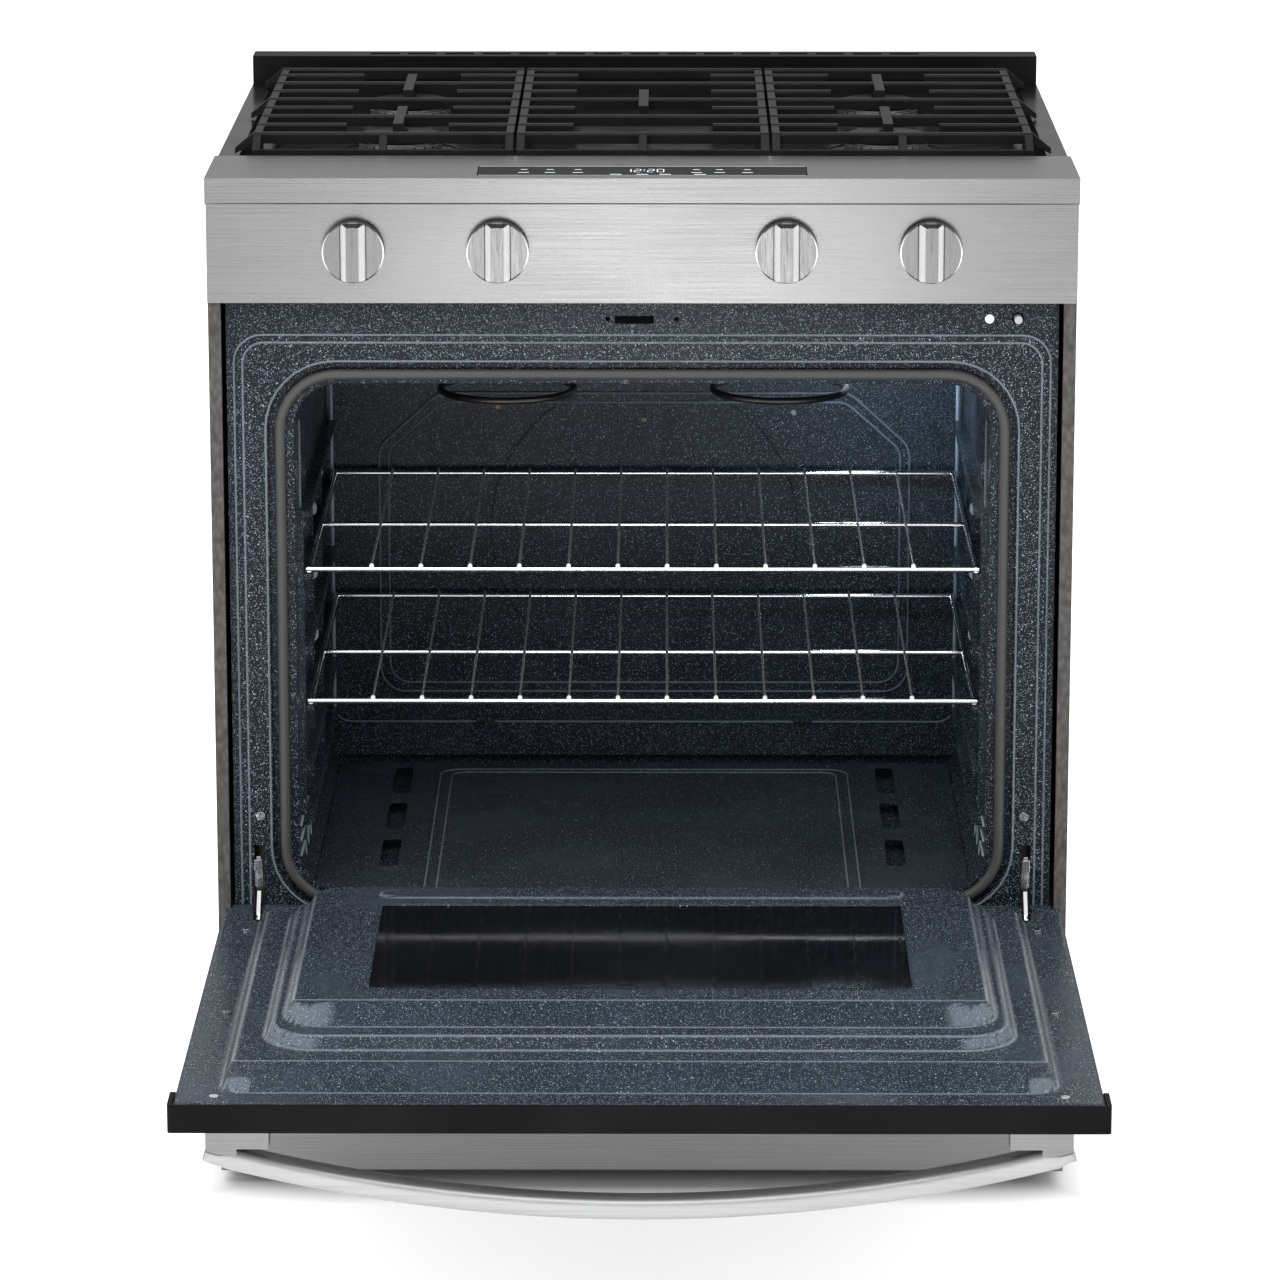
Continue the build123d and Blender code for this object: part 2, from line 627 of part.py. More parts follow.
def door_handle():
    """Bowed stainless handle: a rounded bar swept along an arc, lowest at mid span."""
    path = ThreePointArc((-HANDLE_HALF, HANDLE_Y, HANDLE_END_Z), (0, HANDLE_Y, HANDLE_MID_Z),
                         (HANDLE_HALF, HANDLE_Y, HANDLE_END_Z))
    section = Plane(origin=path @ 0, x_dir=(0, 1, 0), z_dir=path % 0)
    return sweep(section * RectangleRounded(24, 20, 8.5), path=path)


def handle_brackets():
    """Two stainless posts between the handle's ends and the door's outer face."""
    post = block(299, 350, -524, -500, 203, DOOR_FACE_Z - 0.1)
    bar_space = door_handle()
    wedge = plan_profile([(299, -530), (350, -530), (350, -490), (299, -490)], 150, 209)
    post = post - (wedge - block(325, 350, -524, -500, 150, 233)) - bar_space
    post = post.solids().sort_by(SortBy.VOLUME)[-1]
    return both_sides(post)


def hinge_hooks():
    """Two claw arms hooked into the front frame; each carries the door on its eye."""
    outline = [(-4, 237.5), (9, 237.5), (24, 250.5), (60, 250.5), (60, 262), (33, 262), (33, 292),
               (21, 300), (21, 268), (5, 251), (-4, 249)]
    arm = side_profile(outline, HINGE_X - 1.7, HINGE_X + 1.7)
    arm -= rod((HINGE_X - 5, HINGE_Y, HINGE_Z), (HINGE_X + 5, HINGE_Y, HINGE_Z), 3.05)
    arm -= rod((HINGE_X - 5, 26, LATCH_Z), (HINGE_X + 5, 26, LATCH_Z), 1.25)
    return both_sides(arm)


def hinge_bodies():
    """Two hinge channels inside the door, each with its pivot pin."""
    pieces = []
    for side in (-1, 1):
        x = side * HINGE_X
        channel = block(x - 6.2, x + 6.2, -200, 8, 237, 252)
        channel -= block(x - 4.6, x + 4.6, -198, 20, 239, 260)
        pin = rod((x - 6.2, HINGE_Y, HINGE_Z), (x + 6.2, HINGE_Y, HINGE_Z), 3.0)
        channel -= block(x - 4.6, x + 4.6, -30, 20, 230, 260)
        pieces.append(channel + pin)
    return pieces


def hinge_latch(side):
    """Small bail on the hook arm that locks the hinge when it is flipped forward."""
    x = side * HINGE_X
    bail = block(x - 3.4, x + 3.4, 16.5, 19.5, 288, 298)
    for wall in (-2.7, 2.7):
        bail += block(x + wall - 0.7, x + wall + 0.7, 16.5, 30, 288, 298)
        bail += block(x + wall - 0.7, x + wall + 0.7, 22, 30, 272, 289)
    return bail + rod((x - 3, 26, LATCH_Z), (x + 3, 26, LATCH_Z), 1.2)


def screw_head(x, y, z, radius, direction):
    """Low round screw head with a shank; direction is its outward axis."""
    axis = Vector(*direction)
    foot = Vector(x, y, z)
    head = rod(tuple(foot), tuple(foot + axis * 1.6), radius)
    return head + rod(tuple(foot - axis * 6), tuple(foot + axis * 0.5), radius * 0.4)


def door_screws():
    """Screws that hold the liner to the outer panel."""
    spots = [(341.6, -534), (348, -306), (348, -62)]
    screws = []
    for x, y in spots:
        for side in (-1, 1):
            screws.append(screw_head(side * x, y, LINER_Z + 0.1, 4, (0, 0, 1)))
    return screws


def frame_screws():
    """Screws in the oven front frame and the rear panel."""
    screws = [screw_head(304, FRAME_Y - 0.1, 788, 4, (0, -1, 0))]
    for side in (-1, 1):
        screws.append(screw_head(side * 341, FRAME_Y + 1.1, 336, 4, (0, -1, 0)))
        for z in (90, 250, 660, 880):
            screws.append(screw_head(side * 360, 649.6 - 1.2, z, 3, (0, 1, 0)))
    return screws


def door_switch():
    """Body of the door light switch behind the front frame."""
    body = block(321, 337, 32, 58, 780, 796)
    return body - rod((329, 20, 788), (329, 52, 788), 3.55)


def switch_plunger():
    """Sprung plunger of the door light switch."""
    return rod((329, 19, 788), (329, 46, 788), 3.5)


# ---- racks and drawer -------------------------------------------------------------------------
def rack(z):
    """Chrome wire rack: three cross bars, two side wires and twelve slim wires on top."""
    wires = []
    for y, radius in ((99.5, 2.9), (284.5, 2.6), (514.6, 2.9)):
        wires.append(rod((-302, y, z), (302, y, z), radius))
    for x in (-299.2, 299.2):
        wires.append(rod((x, 96, z - 0.2), (x, 518, z - 0.2), 2.6))
    for index in range(12):
        x = (index - 5.5) * 44.2
        wires.append(rod((x, 97.5, z + 3.6), (x, 516, z + 3.6), 1.7))
    wire = Part() + wires
    return wire


def drawer_front():
    """Stainless drawer front, a folded pan."""
    pan = centred(HALF_W - 0.5, -8, 12, DRAWER_BOTTOM, DRAWER_TOP)
    pan = fillet(pan.edges().filter_by(Axis.X).sort_by(Axis.Y)[0:2], 2)
    return pan - centred(HALF_W - 2.1, -6.4, 20, DRAWER_BOTTOM + 1.6, DRAWER_TOP - 1.6)


def drawer_box():
    """Open steel drawer with a runner along each side."""
    box = centred(335, 13, 555, 62, 205) - centred(333.6, 14.4, 553.6, 63.4, 210)
    for side in (-1, 1):
        box += block(side * 338.5 - 4, side * 338.5 + 4, 60, 555, 59, 63)
    box += centred(200, -6.3, 13.2, 90, 100)
    return box


def main():
    """Build and write every sub-part."""
    os.makedirs("parts", exist_ok=True)
    right_side = side_panel()
    write("side_panel_right", right_side)
    write("side_panel_left", mirror(right_side, about=Plane.YZ))
    write("rear_panel", rear_panel())
    write("base_frame", base_frame())
    write("cord_bushing", cord_bushing())
    for x, side in ((-FOOT_X, "left"), (FOOT_X, "right")):
        for y, end in zip(FOOT_Y, ("front", "rear")):
            write("levelling_foot_" + end + "_" + side, levelling_foot(x, y))

    write("oven_front_frame", oven_front_frame())
    write("oven_cavity", oven_cavity())
    write("oven_floor", oven_floor())
    write("door_gasket", door_gasket())
    write("oven_insulation", oven_insulation())
    write("bake_burner", bake_burner())
    write("broil_burner", broil_burner())
    write("oven_lamp", oven_lamp())
    write("temperature_sensor", temperature_sensor())

    write("cooktop", cooktop())
    write("rear_trim", rear_trim())
    write("burner_heads", burner_heads())
    write("burner_caps", burner_caps())
    write("burner_electrodes", burner_electrodes())
    right_grate = outer_grate()
    write("grate_right", right_grate)
    write("grate_left", mirror(right_grate, about=Plane.YZ))
    write("grate_centre", centre_grate())

    write("console_panel", console_panel())
    write("display_glass", display_glass())
    write("control_board", control_board())
    write("gas_valves", gas_valves())
    write("gas_manifold", gas_manifold())
    write("gas_regulator", gas_regulator())
    for x, place in zip(KNOB_X, KNOB_NAMES):
        write("valve_stem_" + place, valve_stem(x))
        write("knob_" + place, knob(x))

    write("door_liner", door_liner())
    write("door_outer_panel", door_outer_panel())
    write("door_outer_glass", door_outer_glass())
    write("door_inner_glass", door_inner_glass())
    write("door_insulation", door_insulation())
    write("door_trim", door_trim())
    write("door_handle", door_handle())
    write("handle_brackets", handle_brackets())
    write("hinge_hooks", hinge_hooks())
    write("hinge_bodies", hinge_bodies())
    write("hinge_latch_left", hinge_latch(-1))
    write("hinge_latch_right", hinge_latch(1))
    write("door_screws", door_screws())
    write("frame_screws", frame_screws())
    write("door_switch", door_switch())
    write("switch_plunger", switch_plunger())

    write("rack_lower", rack(RACK_Z[0]))
    write("rack_upper", rack(RACK_Z[1]))
    write("drawer_front", drawer_front())
    write("drawer_box", drawer_box())


main()
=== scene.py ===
import bpy
import bmesh
import json
import math
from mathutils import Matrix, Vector


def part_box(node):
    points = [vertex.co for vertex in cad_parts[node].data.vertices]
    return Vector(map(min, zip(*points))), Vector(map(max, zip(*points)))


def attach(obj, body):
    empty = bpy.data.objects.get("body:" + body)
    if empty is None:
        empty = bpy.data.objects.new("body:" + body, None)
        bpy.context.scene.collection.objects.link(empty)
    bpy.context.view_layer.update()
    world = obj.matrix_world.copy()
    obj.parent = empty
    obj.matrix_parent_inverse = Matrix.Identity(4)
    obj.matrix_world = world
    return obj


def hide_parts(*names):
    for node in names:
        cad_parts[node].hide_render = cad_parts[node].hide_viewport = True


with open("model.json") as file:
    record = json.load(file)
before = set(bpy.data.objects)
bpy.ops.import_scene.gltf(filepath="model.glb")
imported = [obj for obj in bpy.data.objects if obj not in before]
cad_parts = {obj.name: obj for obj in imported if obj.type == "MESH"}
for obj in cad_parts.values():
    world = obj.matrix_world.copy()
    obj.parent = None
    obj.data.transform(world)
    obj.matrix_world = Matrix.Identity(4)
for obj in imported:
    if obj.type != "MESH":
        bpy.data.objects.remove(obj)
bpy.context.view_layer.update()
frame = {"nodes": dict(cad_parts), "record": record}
NODES = frame["nodes"]


def mm(value):
    """Millimetres to metres."""
    return value / 1000.0


def piece_from(mesh, name, material):
    """Finish a bmesh as a named object in the scene with one material."""
    data = bpy.data.meshes.new(name)
    mesh.to_mesh(data)
    mesh.free()
    return piece_with(data, name, material)


def piece_with(data, name, material):
    """Put mesh data in the scene as a named object with one material."""
    piece = bpy.data.objects.new(name, data)
    bpy.context.collection.objects.link(piece)
    data.materials.append(material)
    return piece


def belongs(piece, body, replaced=None):
    if replaced:
        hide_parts(replaced)
    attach(piece, body)


def power_round(value, power):
    """Signed power of a cosine or sine, which makes a circle into a superellipse."""
    return math.copysign(abs(value) ** power, value)


# ---- node helpers ------------------------------------------------------------------------------
class Nodes:
    """A material's node tree with short calls for the nodes that are used most."""

    def __init__(self, name):
        self.material = bpy.data.materials.new(name)
        self.material.use_nodes = True
        self.tree = self.material.node_tree
        self.shader = self.tree.nodes["Principled BSDF"]

    def node(self, kind, **settings):
        made = self.tree.nodes.new(kind)
        for key, value in settings.items():
            setattr(made, key, value)
        return made

    def link(self, source, target):
        self.tree.links.new(source, target)

    def set(self, **values):
        """Set the shader's own sockets; underscores stand for spaces."""
        for key, value in values.items():
            self.shader.inputs[key.replace("_", " ")].default_value = value

    def coords(self, scale):
        """Object coordinates multiplied by a scale for each axis, in cycles per metre."""
        place = self.node("ShaderNodeTexCoord")
        mapping = self.node("ShaderNodeMapping")
        mapping.inputs["Scale"].default_value = scale
        self.link(place.outputs["Object"], mapping.inputs["Vector"])
        return mapping.outputs["Vector"]

    def noise(self, scale, detail=3.0, roughness=0.5, stretch=(1, 1, 1)):
        noise = self.node("ShaderNodeTexNoise")
        noise.inputs["Scale"].default_value = scale
        noise.inputs["Detail"].default_value = detail
        noise.inputs["Roughness"].default_value = roughness
        self.link(self.coords(stretch), noise.inputs["Vector"])
        return noise.outputs["Fac"]

    def voronoi(self, scale, feature="F1", stretch=(1, 1, 1)):
        cells = self.node("ShaderNodeTexVoronoi", feature=feature)
        cells.inputs["Scale"].default_value = scale
        self.link(self.coords(stretch), cells.inputs["Vector"])
        return cells

    def spread(self, value, low, high, to_low=0.0, to_high=1.0):
        """Map a range of a value to another range, clamped."""
        ranged = self.node("ShaderNodeMapRange")
        ranged.inputs["From Min"].default_value = low
        ranged.inputs["From Max"].default_value = high
        ranged.inputs["To Min"].default_value = to_low
        ranged.inputs["To Max"].default_value = to_high
        self.link(value, ranged.inputs["Value"])
        return ranged.outputs["Result"]

    def maths(self, operation, first, second):
        made = self.node("ShaderNodeMath", operation=operation)
        for socket, value in zip(made.inputs, (first, second)):
            if isinstance(value, (int, float)):
                socket.default_value = value
            else:
                self.link(value, socket)
        return made.outputs["Value"]

    def mix(self, factor, first, second):
        """Blend two colours; each is a tuple or a socket."""
        made = self.node("ShaderNodeMix", data_type="RGBA")
        self.link(factor, made.inputs["Factor"])
        for name, value in (("A", first), ("B", second)):
            socket = [s for s in made.inputs if s.name == name and s.type == "RGBA"][0]
            if isinstance(value, tuple):
                socket.default_value = (*value, 1)
            else:
                self.link(value, socket)
        return [s for s in made.outputs if s.type == "RGBA"][0]

    def colour(self, socket):
        self.link(socket, self.shader.inputs["Base Color"])

    def roughness(self, socket):
        self.link(socket, self.shader.inputs["Roughness"])

    def bump(self, height, strength, distance, rounded=0.0):
        """Bump from a height, on top of edges rounded by the given radius in metres."""
        bump = self.node("ShaderNodeBump")
        bump.inputs["Strength"].default_value = strength
        bump.inputs["Distance"].default_value = distance
        self.link(height, bump.inputs["Height"])
        if rounded:
            edge = self.node("ShaderNodeBevel", samples=4)
            edge.inputs["Radius"].default_value = rounded
            self.link(edge.outputs["Normal"], bump.inputs["Normal"])
        self.link(bump.outputs["Normal"], self.shader.inputs["Normal"])


ENAMEL_EDGE = 0.0014     # radius that bends in enamelled sheet seem to have


# ---- materials ---------------------------------------------------------------------------------
def brushed_steel(name, grain, base=(0.205, 0.205, 0.207), rough=0.29):
    """Stainless steel with fine brush lines; grain is the stretch of the noise on each axis."""
    m = Nodes(name)
    m.set(Metallic=1.0, Specular_IOR_Level=0.5)
    lines = m.noise(1.0, 4, 0.6, grain)
    cloud = m.noise(5.0, 2, 0.5, (0.6, 1, 1))
    fine = m.spread(lines, 0.3, 0.7)
    light = tuple(min(1.0, c * 1.14) for c in base)
    dark = tuple(c * 0.9 for c in base)
    m.colour(m.mix(fine, dark, light))
    streak = m.maths("MULTIPLY", fine, 0.1)
    m.roughness(m.maths("ADD", streak, m.spread(cloud, 0.3, 0.7, rough - 0.1, rough - 0.04)))
    m.bump(lines, 0.12, 0.0002, 0.0006)
    return m.material


def speckled_enamel(name, base=(0.007, 0.0098, 0.0142), fleck=(0.5, 0.6, 0.7), amount=0.42,
                    glint=False):
    """Navy-black porcelain enamel with pale flecks; glint paints a lighter colour along marked
    bends and corners as a painted highlight.
    """
    m = Nodes(name)
    m.set(IOR=1.22, Specular_IOR_Level=0.45)
    total = None
    for scale, radius, share in ((330.0, 0.27, 0.3), (620.0, 0.30, 0.8), (1000.0, 0.34, 1.0)):
        cells = m.voronoi(scale)
        split = m.node("ShaderNodeSeparateColor")
        m.link(cells.outputs["Color"], split.inputs["Color"])
        chosen = m.maths("LESS_THAN", split.outputs["Red"], amount * share)
        near = m.spread(cells.outputs["Distance"], radius, radius * 0.55)
        spot = m.maths("MULTIPLY", chosen, near)
        spot = m.maths("MULTIPLY", spot, m.spread(split.outputs["Green"], 0, 1, 0.25, 1.0))
        total = spot if total is None else m.maths("MAXIMUM", total, spot)
    cloud = m.noise(9.0, 3, 0.55)
    deep = m.mix(m.spread(cloud, 0.3, 0.7), base, tuple(c * 1.5 for c in base))
    # the glint attribute mixes in a lighter colour: painted highlight on the liner's bends and
    # corners
    if glint:
        painted_highlight = m.node("ShaderNodeAttribute", attribute_name="glint")
        deep = m.mix(painted_highlight.outputs["Fac"], deep, (0.2, 0.24, 0.28))
    m.colour(m.mix(total, deep, fleck))
    m.roughness(m.spread(cloud, 0.3, 0.7, 0.22, 0.3))
    m.bump(total, 0.15, 0.0002, ENAMEL_EDGE)
    return m.material


def gloss_enamel(name, base=(0.006, 0.006, 0.007)):
    """Deep black enamel with a faint orange peel."""
    m = Nodes(name)
    m.set(IOR=1.25, Specular_IOR_Level=0.4)
    cloud = m.noise(14.0, 3)
    m.colour(m.mix(m.spread(cloud, 0.3, 0.7), base, tuple(c * 1.8 for c in base)))
    m.roughness(m.spread(cloud, 0.3, 0.7, 0.16, 0.26))
    m.bump(m.noise(220.0, 2), 0.06, 0.0004, 0.001)
    return m.material


def cast_iron(name):
    """Matt enamelled iron with a sandy cast surface."""
    m = Nodes(name)
    m.set(IOR=1.32, Specular_IOR_Level=0.35)
    grain = m.noise(900.0, 4, 0.6)
    cloud = m.noise(25.0, 3)
    m.colour(m.mix(m.spread(cloud, 0.3, 0.7), (0.006, 0.006, 0.0062), (0.011, 0.011, 0.0112)))
    m.roughness(m.spread(grain, 0.3, 0.7, 0.42, 0.6))
    m.bump(grain, 0.3, 0.0003, 0.001)
    return m.material


def pebbled_paint(name):
    """Black-brown paint over a pebbled embossed sheet."""
    m = Nodes(name)
    m.set(IOR=1.5, Specular_IOR_Level=0.5)
    cells = m.voronoi(240.0, "SMOOTH_F1", (1, 1, 0.6))
    height = m.spread(cells.outputs["Distance"], 0.0, 0.75, 1.0, 0.0)
    # darker in the pebbles' hollows and lighter on their tops: painted shade
    m.colour(m.mix(height, (0.02, 0.018, 0.017), (0.085, 0.08, 0.074)))
    m.roughness(m.spread(height, 0, 1, 0.5, 0.34))
    m.bump(height, 0.6, 0.0008, 0.0005)
    return m.material


def satin_black(name, base=(0.008, 0.008, 0.0085)):
    """Satin black paint or plastic with a fine grain."""
    m = Nodes(name)
    m.set(IOR=1.2, Specular_IOR_Level=0.2)
    grain = m.noise(1300.0, 3)
    cloud = m.noise(12.0, 2)
    m.colour(m.mix(m.spread(cloud, 0.3, 0.7), base, tuple(c * 1.6 for c in base)))
    m.roughness(m.spread(grain, 0.3, 0.7, 0.36, 0.48))
    m.bump(grain, 0.15, 0.0002, 0.0006)
    return m.material


def bright_metal(name, base=(0.78, 0.78, 0.8), rough=0.12, grain=400.0):
    """Plated or cast bright metal with slight cloudiness."""
    m = Nodes(name)
    m.set(Metallic=1.0)
    cloud = m.noise(30.0, 3)
    fine = m.noise(grain, 3)
    m.colour(m.mix(m.spread(cloud, 0.3, 0.7), tuple(c * 0.9 for c in base), base))
    m.roughness(m.spread(fine, 0.3, 0.7, rough, rough + 0.1))
    m.bump(fine, 0.05, 0.0002, 0.0004)
    return m.material


def galvanised(name):
    """Zinc-coated sheet with a spangle pattern."""
    m = Nodes(name)
    m.set(Metallic=0.9)
    cells = m.voronoi(170.0)
    split = m.node("ShaderNodeSeparateColor")
    m.link(cells.outputs["Color"], split.inputs["Color"])
    shade = split.outputs["Red"]
    m.colour(m.mix(shade, (0.34, 0.35, 0.36), (0.44, 0.45, 0.46)))
    m.roughness(m.spread(shade, 0, 1, 0.34, 0.5))
    m.bump(m.noise(300.0, 2), 0.08, 0.0002, 0.0004)
    return m.material


def dark_glass(name, base=(0.004, 0.004, 0.005), index=1.3, shine=0.5):
    """Black tinted glass, opaque because its back is printed."""
    m = Nodes(name)
    m.set(IOR=index, Specular_IOR_Level=shine)
    cloud = m.noise(6.0, 2)
    m.colour(m.mix(m.spread(cloud, 0.3, 0.7), base, tuple(c * 1.8 for c in base)))
    m.roughness(m.spread(cloud, 0.3, 0.7, 0.03, 0.07))
    m.bump(m.noise(3.0, 1), 0.02, 0.001)
    return m.material


def lamp_glass(name):
    """Clear lamp glass with a weak cool glow."""
    m = Nodes(name)
    m.set(IOR=1.47, Transmission_Weight=0.7, Emission_Strength=2.5)
    ripple = m.noise(90.0, 2)
    tint = m.mix(m.spread(ripple, 0.3, 0.7), (0.7, 0.82, 0.95), (0.9, 0.95, 1.0))
    m.colour(tint)
    m.link(tint, m.shader.inputs["Emission Color"])
    m.roughness(m.spread(ripple, 0.3, 0.7, 0.08, 0.2))
    m.bump(ripple, 0.2, 0.0006)
    return m.material


def woven_seal(name):
    """Knitted glass-fibre sleeve: crossed diagonal strands."""
    m = Nodes(name)
    m.set(IOR=1.42, Specular_IOR_Level=0.6)
    height = None
    for lean in (1, -1):
        wave = m.node("ShaderNodeTexWave", wave_type="BANDS", bands_direction="DIAGONAL")
        wave.inputs["Scale"].default_value = 1.0
        wave.inputs["Distortion"].default_value = 1.5
        m.link(m.coords((260.0, 260.0 * lean, 260.0)), wave.inputs["Vector"])
        height = wave.outputs["Fac"] if height is None else m.maths(
            "MAXIMUM", height, wave.outputs["Fac"])
    # darker in the gaps between the strands: painted shade
    m.colour(m.mix(height, (0.012, 0.0119, 0.0116), (0.06, 0.0592, 0.0575)))
    m.roughness(m.spread(height, 0, 1, 0.6, 0.42))
    m.bump(height, 0.35, 0.0004)
    return m.material


def fibre_wool(name):
    """Yellow-grey mineral wool."""
    m = Nodes(name)
    m.set(Sheen_Weight=0.3)
    tuft = m.noise(120.0, 6, 0.7)
    m.colour(m.mix(m.spread(tuft, 0.3, 0.7), (0.45, 0.4, 0.28), (0.75, 0.7, 0.55)))
    m.roughness(m.spread(tuft, 0.3, 0.7, 0.85, 1.0))
    m.bump(tuft, 0.8, 0.003)
    return m.material


def lit_metal(name, glow, base):
    """Metal of the rack's wires; a small glow stands in for the light that they catch."""
    m = Nodes(name)
    m.set(Metallic=0.6, Emission_Color=(1, 1, 1, 1), Emission_Strength=glow)
    cloud = m.noise(60.0, 2)
    m.colour(m.mix(m.spread(cloud, 0.3, 0.7), (base * 0.85,) * 3, (base,) * 3))
    m.roughness(m.spread(cloud, 0.3, 0.7, 0.2, 0.3))
    return m.material


KNOB_PITCH = (0.1255, 0.251)                            # knob centres either side of the middle
GRIP_SHADE_LINES = ((0.0056, 0.0006), (0.0112, 0.0008))       # painted shade lines in the creases beside the grip bar: place, width


def knob_metal(name):
    """Turned knob metal: brushed faces; sideways flanks painted near white and glowing a little as
    a painted highlight; painted shade lines in the grip's creases.
    """
    m = Nodes(name)
    m.set(Metallic=1.0, Emission_Color=(1, 1, 1, 1))
    place = m.node("ShaderNodeTexCoord")
    axes = m.node("ShaderNodeSeparateXYZ")
    m.link(place.outputs["Normal"], axes.inputs["Vector"])
    sideways = m.maths("ABSOLUTE", axes.outputs["X"], 0.0)
    forward = m.maths("ABSOLUTE", axes.outputs["Y"], 0.0)
    painted_flank_highlight = m.maths("MULTIPLY", m.spread(sideways, 0.5, 0.7), m.spread(forward, 0.12, 0.2))
    brush = m.noise(1.0, 3, 0.6, (900.0, 900.0, 40.0))
    spot = m.node("ShaderNodeSeparateXYZ")
    m.link(place.outputs["Object"], spot.inputs["Vector"])
    out = m.maths("ABSOLUTE", spot.outputs["X"], 0.0)
    from_outer = m.maths("ABSOLUTE", m.maths("SUBTRACT", out, KNOB_PITCH[1]), 0.0)
    from_inner = m.maths("ABSOLUTE", m.maths("SUBTRACT", out, KNOB_PITCH[0]), 0.0)
    across = m.maths("MINIMUM", from_outer, from_inner)
    # painted highlight: flanks that face sideways are coloured near white here and glow a little
    # below
    shade = m.mix(painted_flank_highlight, (0.17, 0.17, 0.172), (0.95, 0.95, 0.95))
    # painted shade: dark lines in the creases beside the grip bar
    for place_out, width in GRIP_SHADE_LINES:
        off = m.maths("ABSOLUTE", m.maths("SUBTRACT", across, place_out), 0.0)
        shade = m.mix(m.spread(off, 0.0, width), (0.02, 0.02, 0.02), shade)
    m.colour(shade)
    m.link(m.maths("MULTIPLY", painted_flank_highlight, 0.5), m.shader.inputs["Emission Strength"])
    m.roughness(m.spread(brush, 0.3, 0.7, 0.2, 0.32))
    m.bump(brush, 0.06, 0.0002, 0.0005)
    return m.material


MATERIALS = {
    "stainless": brushed_steel("stainless", (7.0, 900.0, 900.0)),
    "handle_steel": brushed_steel("handle_steel", (5.0, 300.0, 300.0), (0.4, 0.4, 0.404), 0.46),
    "knob_metal": knob_metal("knob_metal"),
    "speckled_enamel": speckled_enamel("speckled_enamel"),
    "liner_enamel": speckled_enamel("liner_enamel", (0.019, 0.026, 0.036), glint=True),
    "cavity_enamel": speckled_enamel("cavity_enamel", (0.0145, 0.0195, 0.026)),
    "floor_enamel": speckled_enamel("floor_enamel", (0.025, 0.031, 0.039), amount=0.12),
    # the two materials below are lighter copies of the enamel: painted highlight on raised lines,
    # corner coves and stops
    "bead_highlight_enamel": speckled_enamel("bead_highlight_enamel", (0.11, 0.13, 0.15)),
    "lit_enamel": speckled_enamel("lit_enamel", (0.3, 0.34, 0.38)),
    "black_enamel": gloss_enamel("black_enamel"),
    "side_paint": pebbled_paint("side_paint"),
    "black_trim": satin_black("black_trim", (0.0055, 0.0055, 0.0058)),
    "galvanised": galvanised("galvanised"),
    "cast_iron": cast_iron("cast_iron"),
    "aluminium": bright_metal("aluminium", (0.5, 0.5, 0.51), 0.35, 600.0),
    "chrome": bright_metal("chrome", (0.85, 0.85, 0.87), 0.06, 300.0),
    # the two materials below glow a little: painted highlight for the light the slim wires and
    # their heads catch
    "wire_metal_painted_glow": lit_metal("wire_metal_painted_glow", 0.015, 0.3),
    "head_metal_painted_glow": lit_metal("head_metal_painted_glow", 0.5, 0.95),
    "black_glass": dark_glass("black_glass"),
    "display_black": dark_glass("display_black", (0.003, 0.003, 0.0035), 1.08, 0.15),
    "lamp_glass": lamp_glass("lamp_glass"),
    "brass": bright_metal("brass", (0.72, 0.53, 0.24), 0.25, 500.0),
    "gasket_weave": woven_seal("gasket_weave"),
    "wool": fibre_wool("wool"),
    "ceramic": satin_black("ceramic", (0.45, 0.44, 0.41)),
    "black_plastic": satin_black("black_plastic", (0.012, 0.012, 0.013)),
    "grey_plastic": satin_black("grey_plastic", (0.3, 0.3, 0.3)),
    "burner_steel": bright_metal("burner_steel", (0.12, 0.11, 0.1), 0.4, 500.0),
}


NODE_FINISH = {"display_glass": "display_black", "oven_cavity": "cavity_enamel",
               "oven_floor": "floor_enamel"}


def dress_cad_nodes():
    """Give every CAD node the material of its record slot, or its own variant of it."""
    for part in frame["record"]["subparts"]:
        mesh_object = NODES[part["node"]]
        if not mesh_object.material_slots:
            mesh_object.data.materials.append(None)
        for held in mesh_object.material_slots:
            finish = NODE_FINISH.get(part["node"], part["material_slot"])
            held.material = MATERIALS[finish]


# ---- floor, light and camera -------------------------------------------------------------------
def make_stage():
    """Plain pale floor, with a small glow away from the body that keeps it near white."""
    bpy.ops.mesh.primitive_plane_add(size=60.0, location=(0, 0, 0))
    floor = bpy.context.object
    floor.name = "stage_floor"
    m = Nodes("stage_floor")
    speck = m.noise(40.0, 2)
    m.colour(m.mix(m.spread(speck, 0.3, 0.7), (0.93, 0.93, 0.93), (0.95, 0.95, 0.95)))
    m.roughness(m.spread(speck, 0.3, 0.7, 0.75, 0.85))
    m.set(Specular_IOR_Level=0.2, Emission_Color=(1, 1, 1, 1))
    place = m.node("ShaderNodeTexCoord")
    axes = m.node("ShaderNodeSeparateXYZ")
    m.link(place.outputs["Object"], axes.inputs["Vector"])
    low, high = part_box("base_frame")
    sideways = m.maths("SUBTRACT", m.maths("ABSOLUTE", axes.outputs["X"], 0.0), high[0])
    ahead = m.maths("SUBTRACT", low[1] - mm(40), axes.outputs["Y"])
    behind = m.maths("SUBTRACT", axes.outputs["Y"], high[1])
    away = m.maths("MAXIMUM", sideways, m.maths("MAXIMUM", ahead, behind))
    m.link(m.spread(away, 0.0, 0.05, 0.0, 0.66), m.shader.inputs["Emission Strength"])
    floor.data.materials.append(m.material)


def area_light(name, place, aim, size, watts, tint=(1, 1, 1)):
    """Rectangular softbox that faces a point."""
    light = bpy.data.lights.new(name, "AREA")
    light.shape = "RECTANGLE"
    light.size, light.size_y = size
    light.energy = watts
    light.color = tint
    lamp = bpy.data.objects.new(name, light)
    bpy.context.collection.objects.link(lamp)
    lamp.location = place
    facing = Vector(aim) - Vector(place)
    lamp.rotation_euler = facing.to_track_quat("-Z", "Y").to_euler()


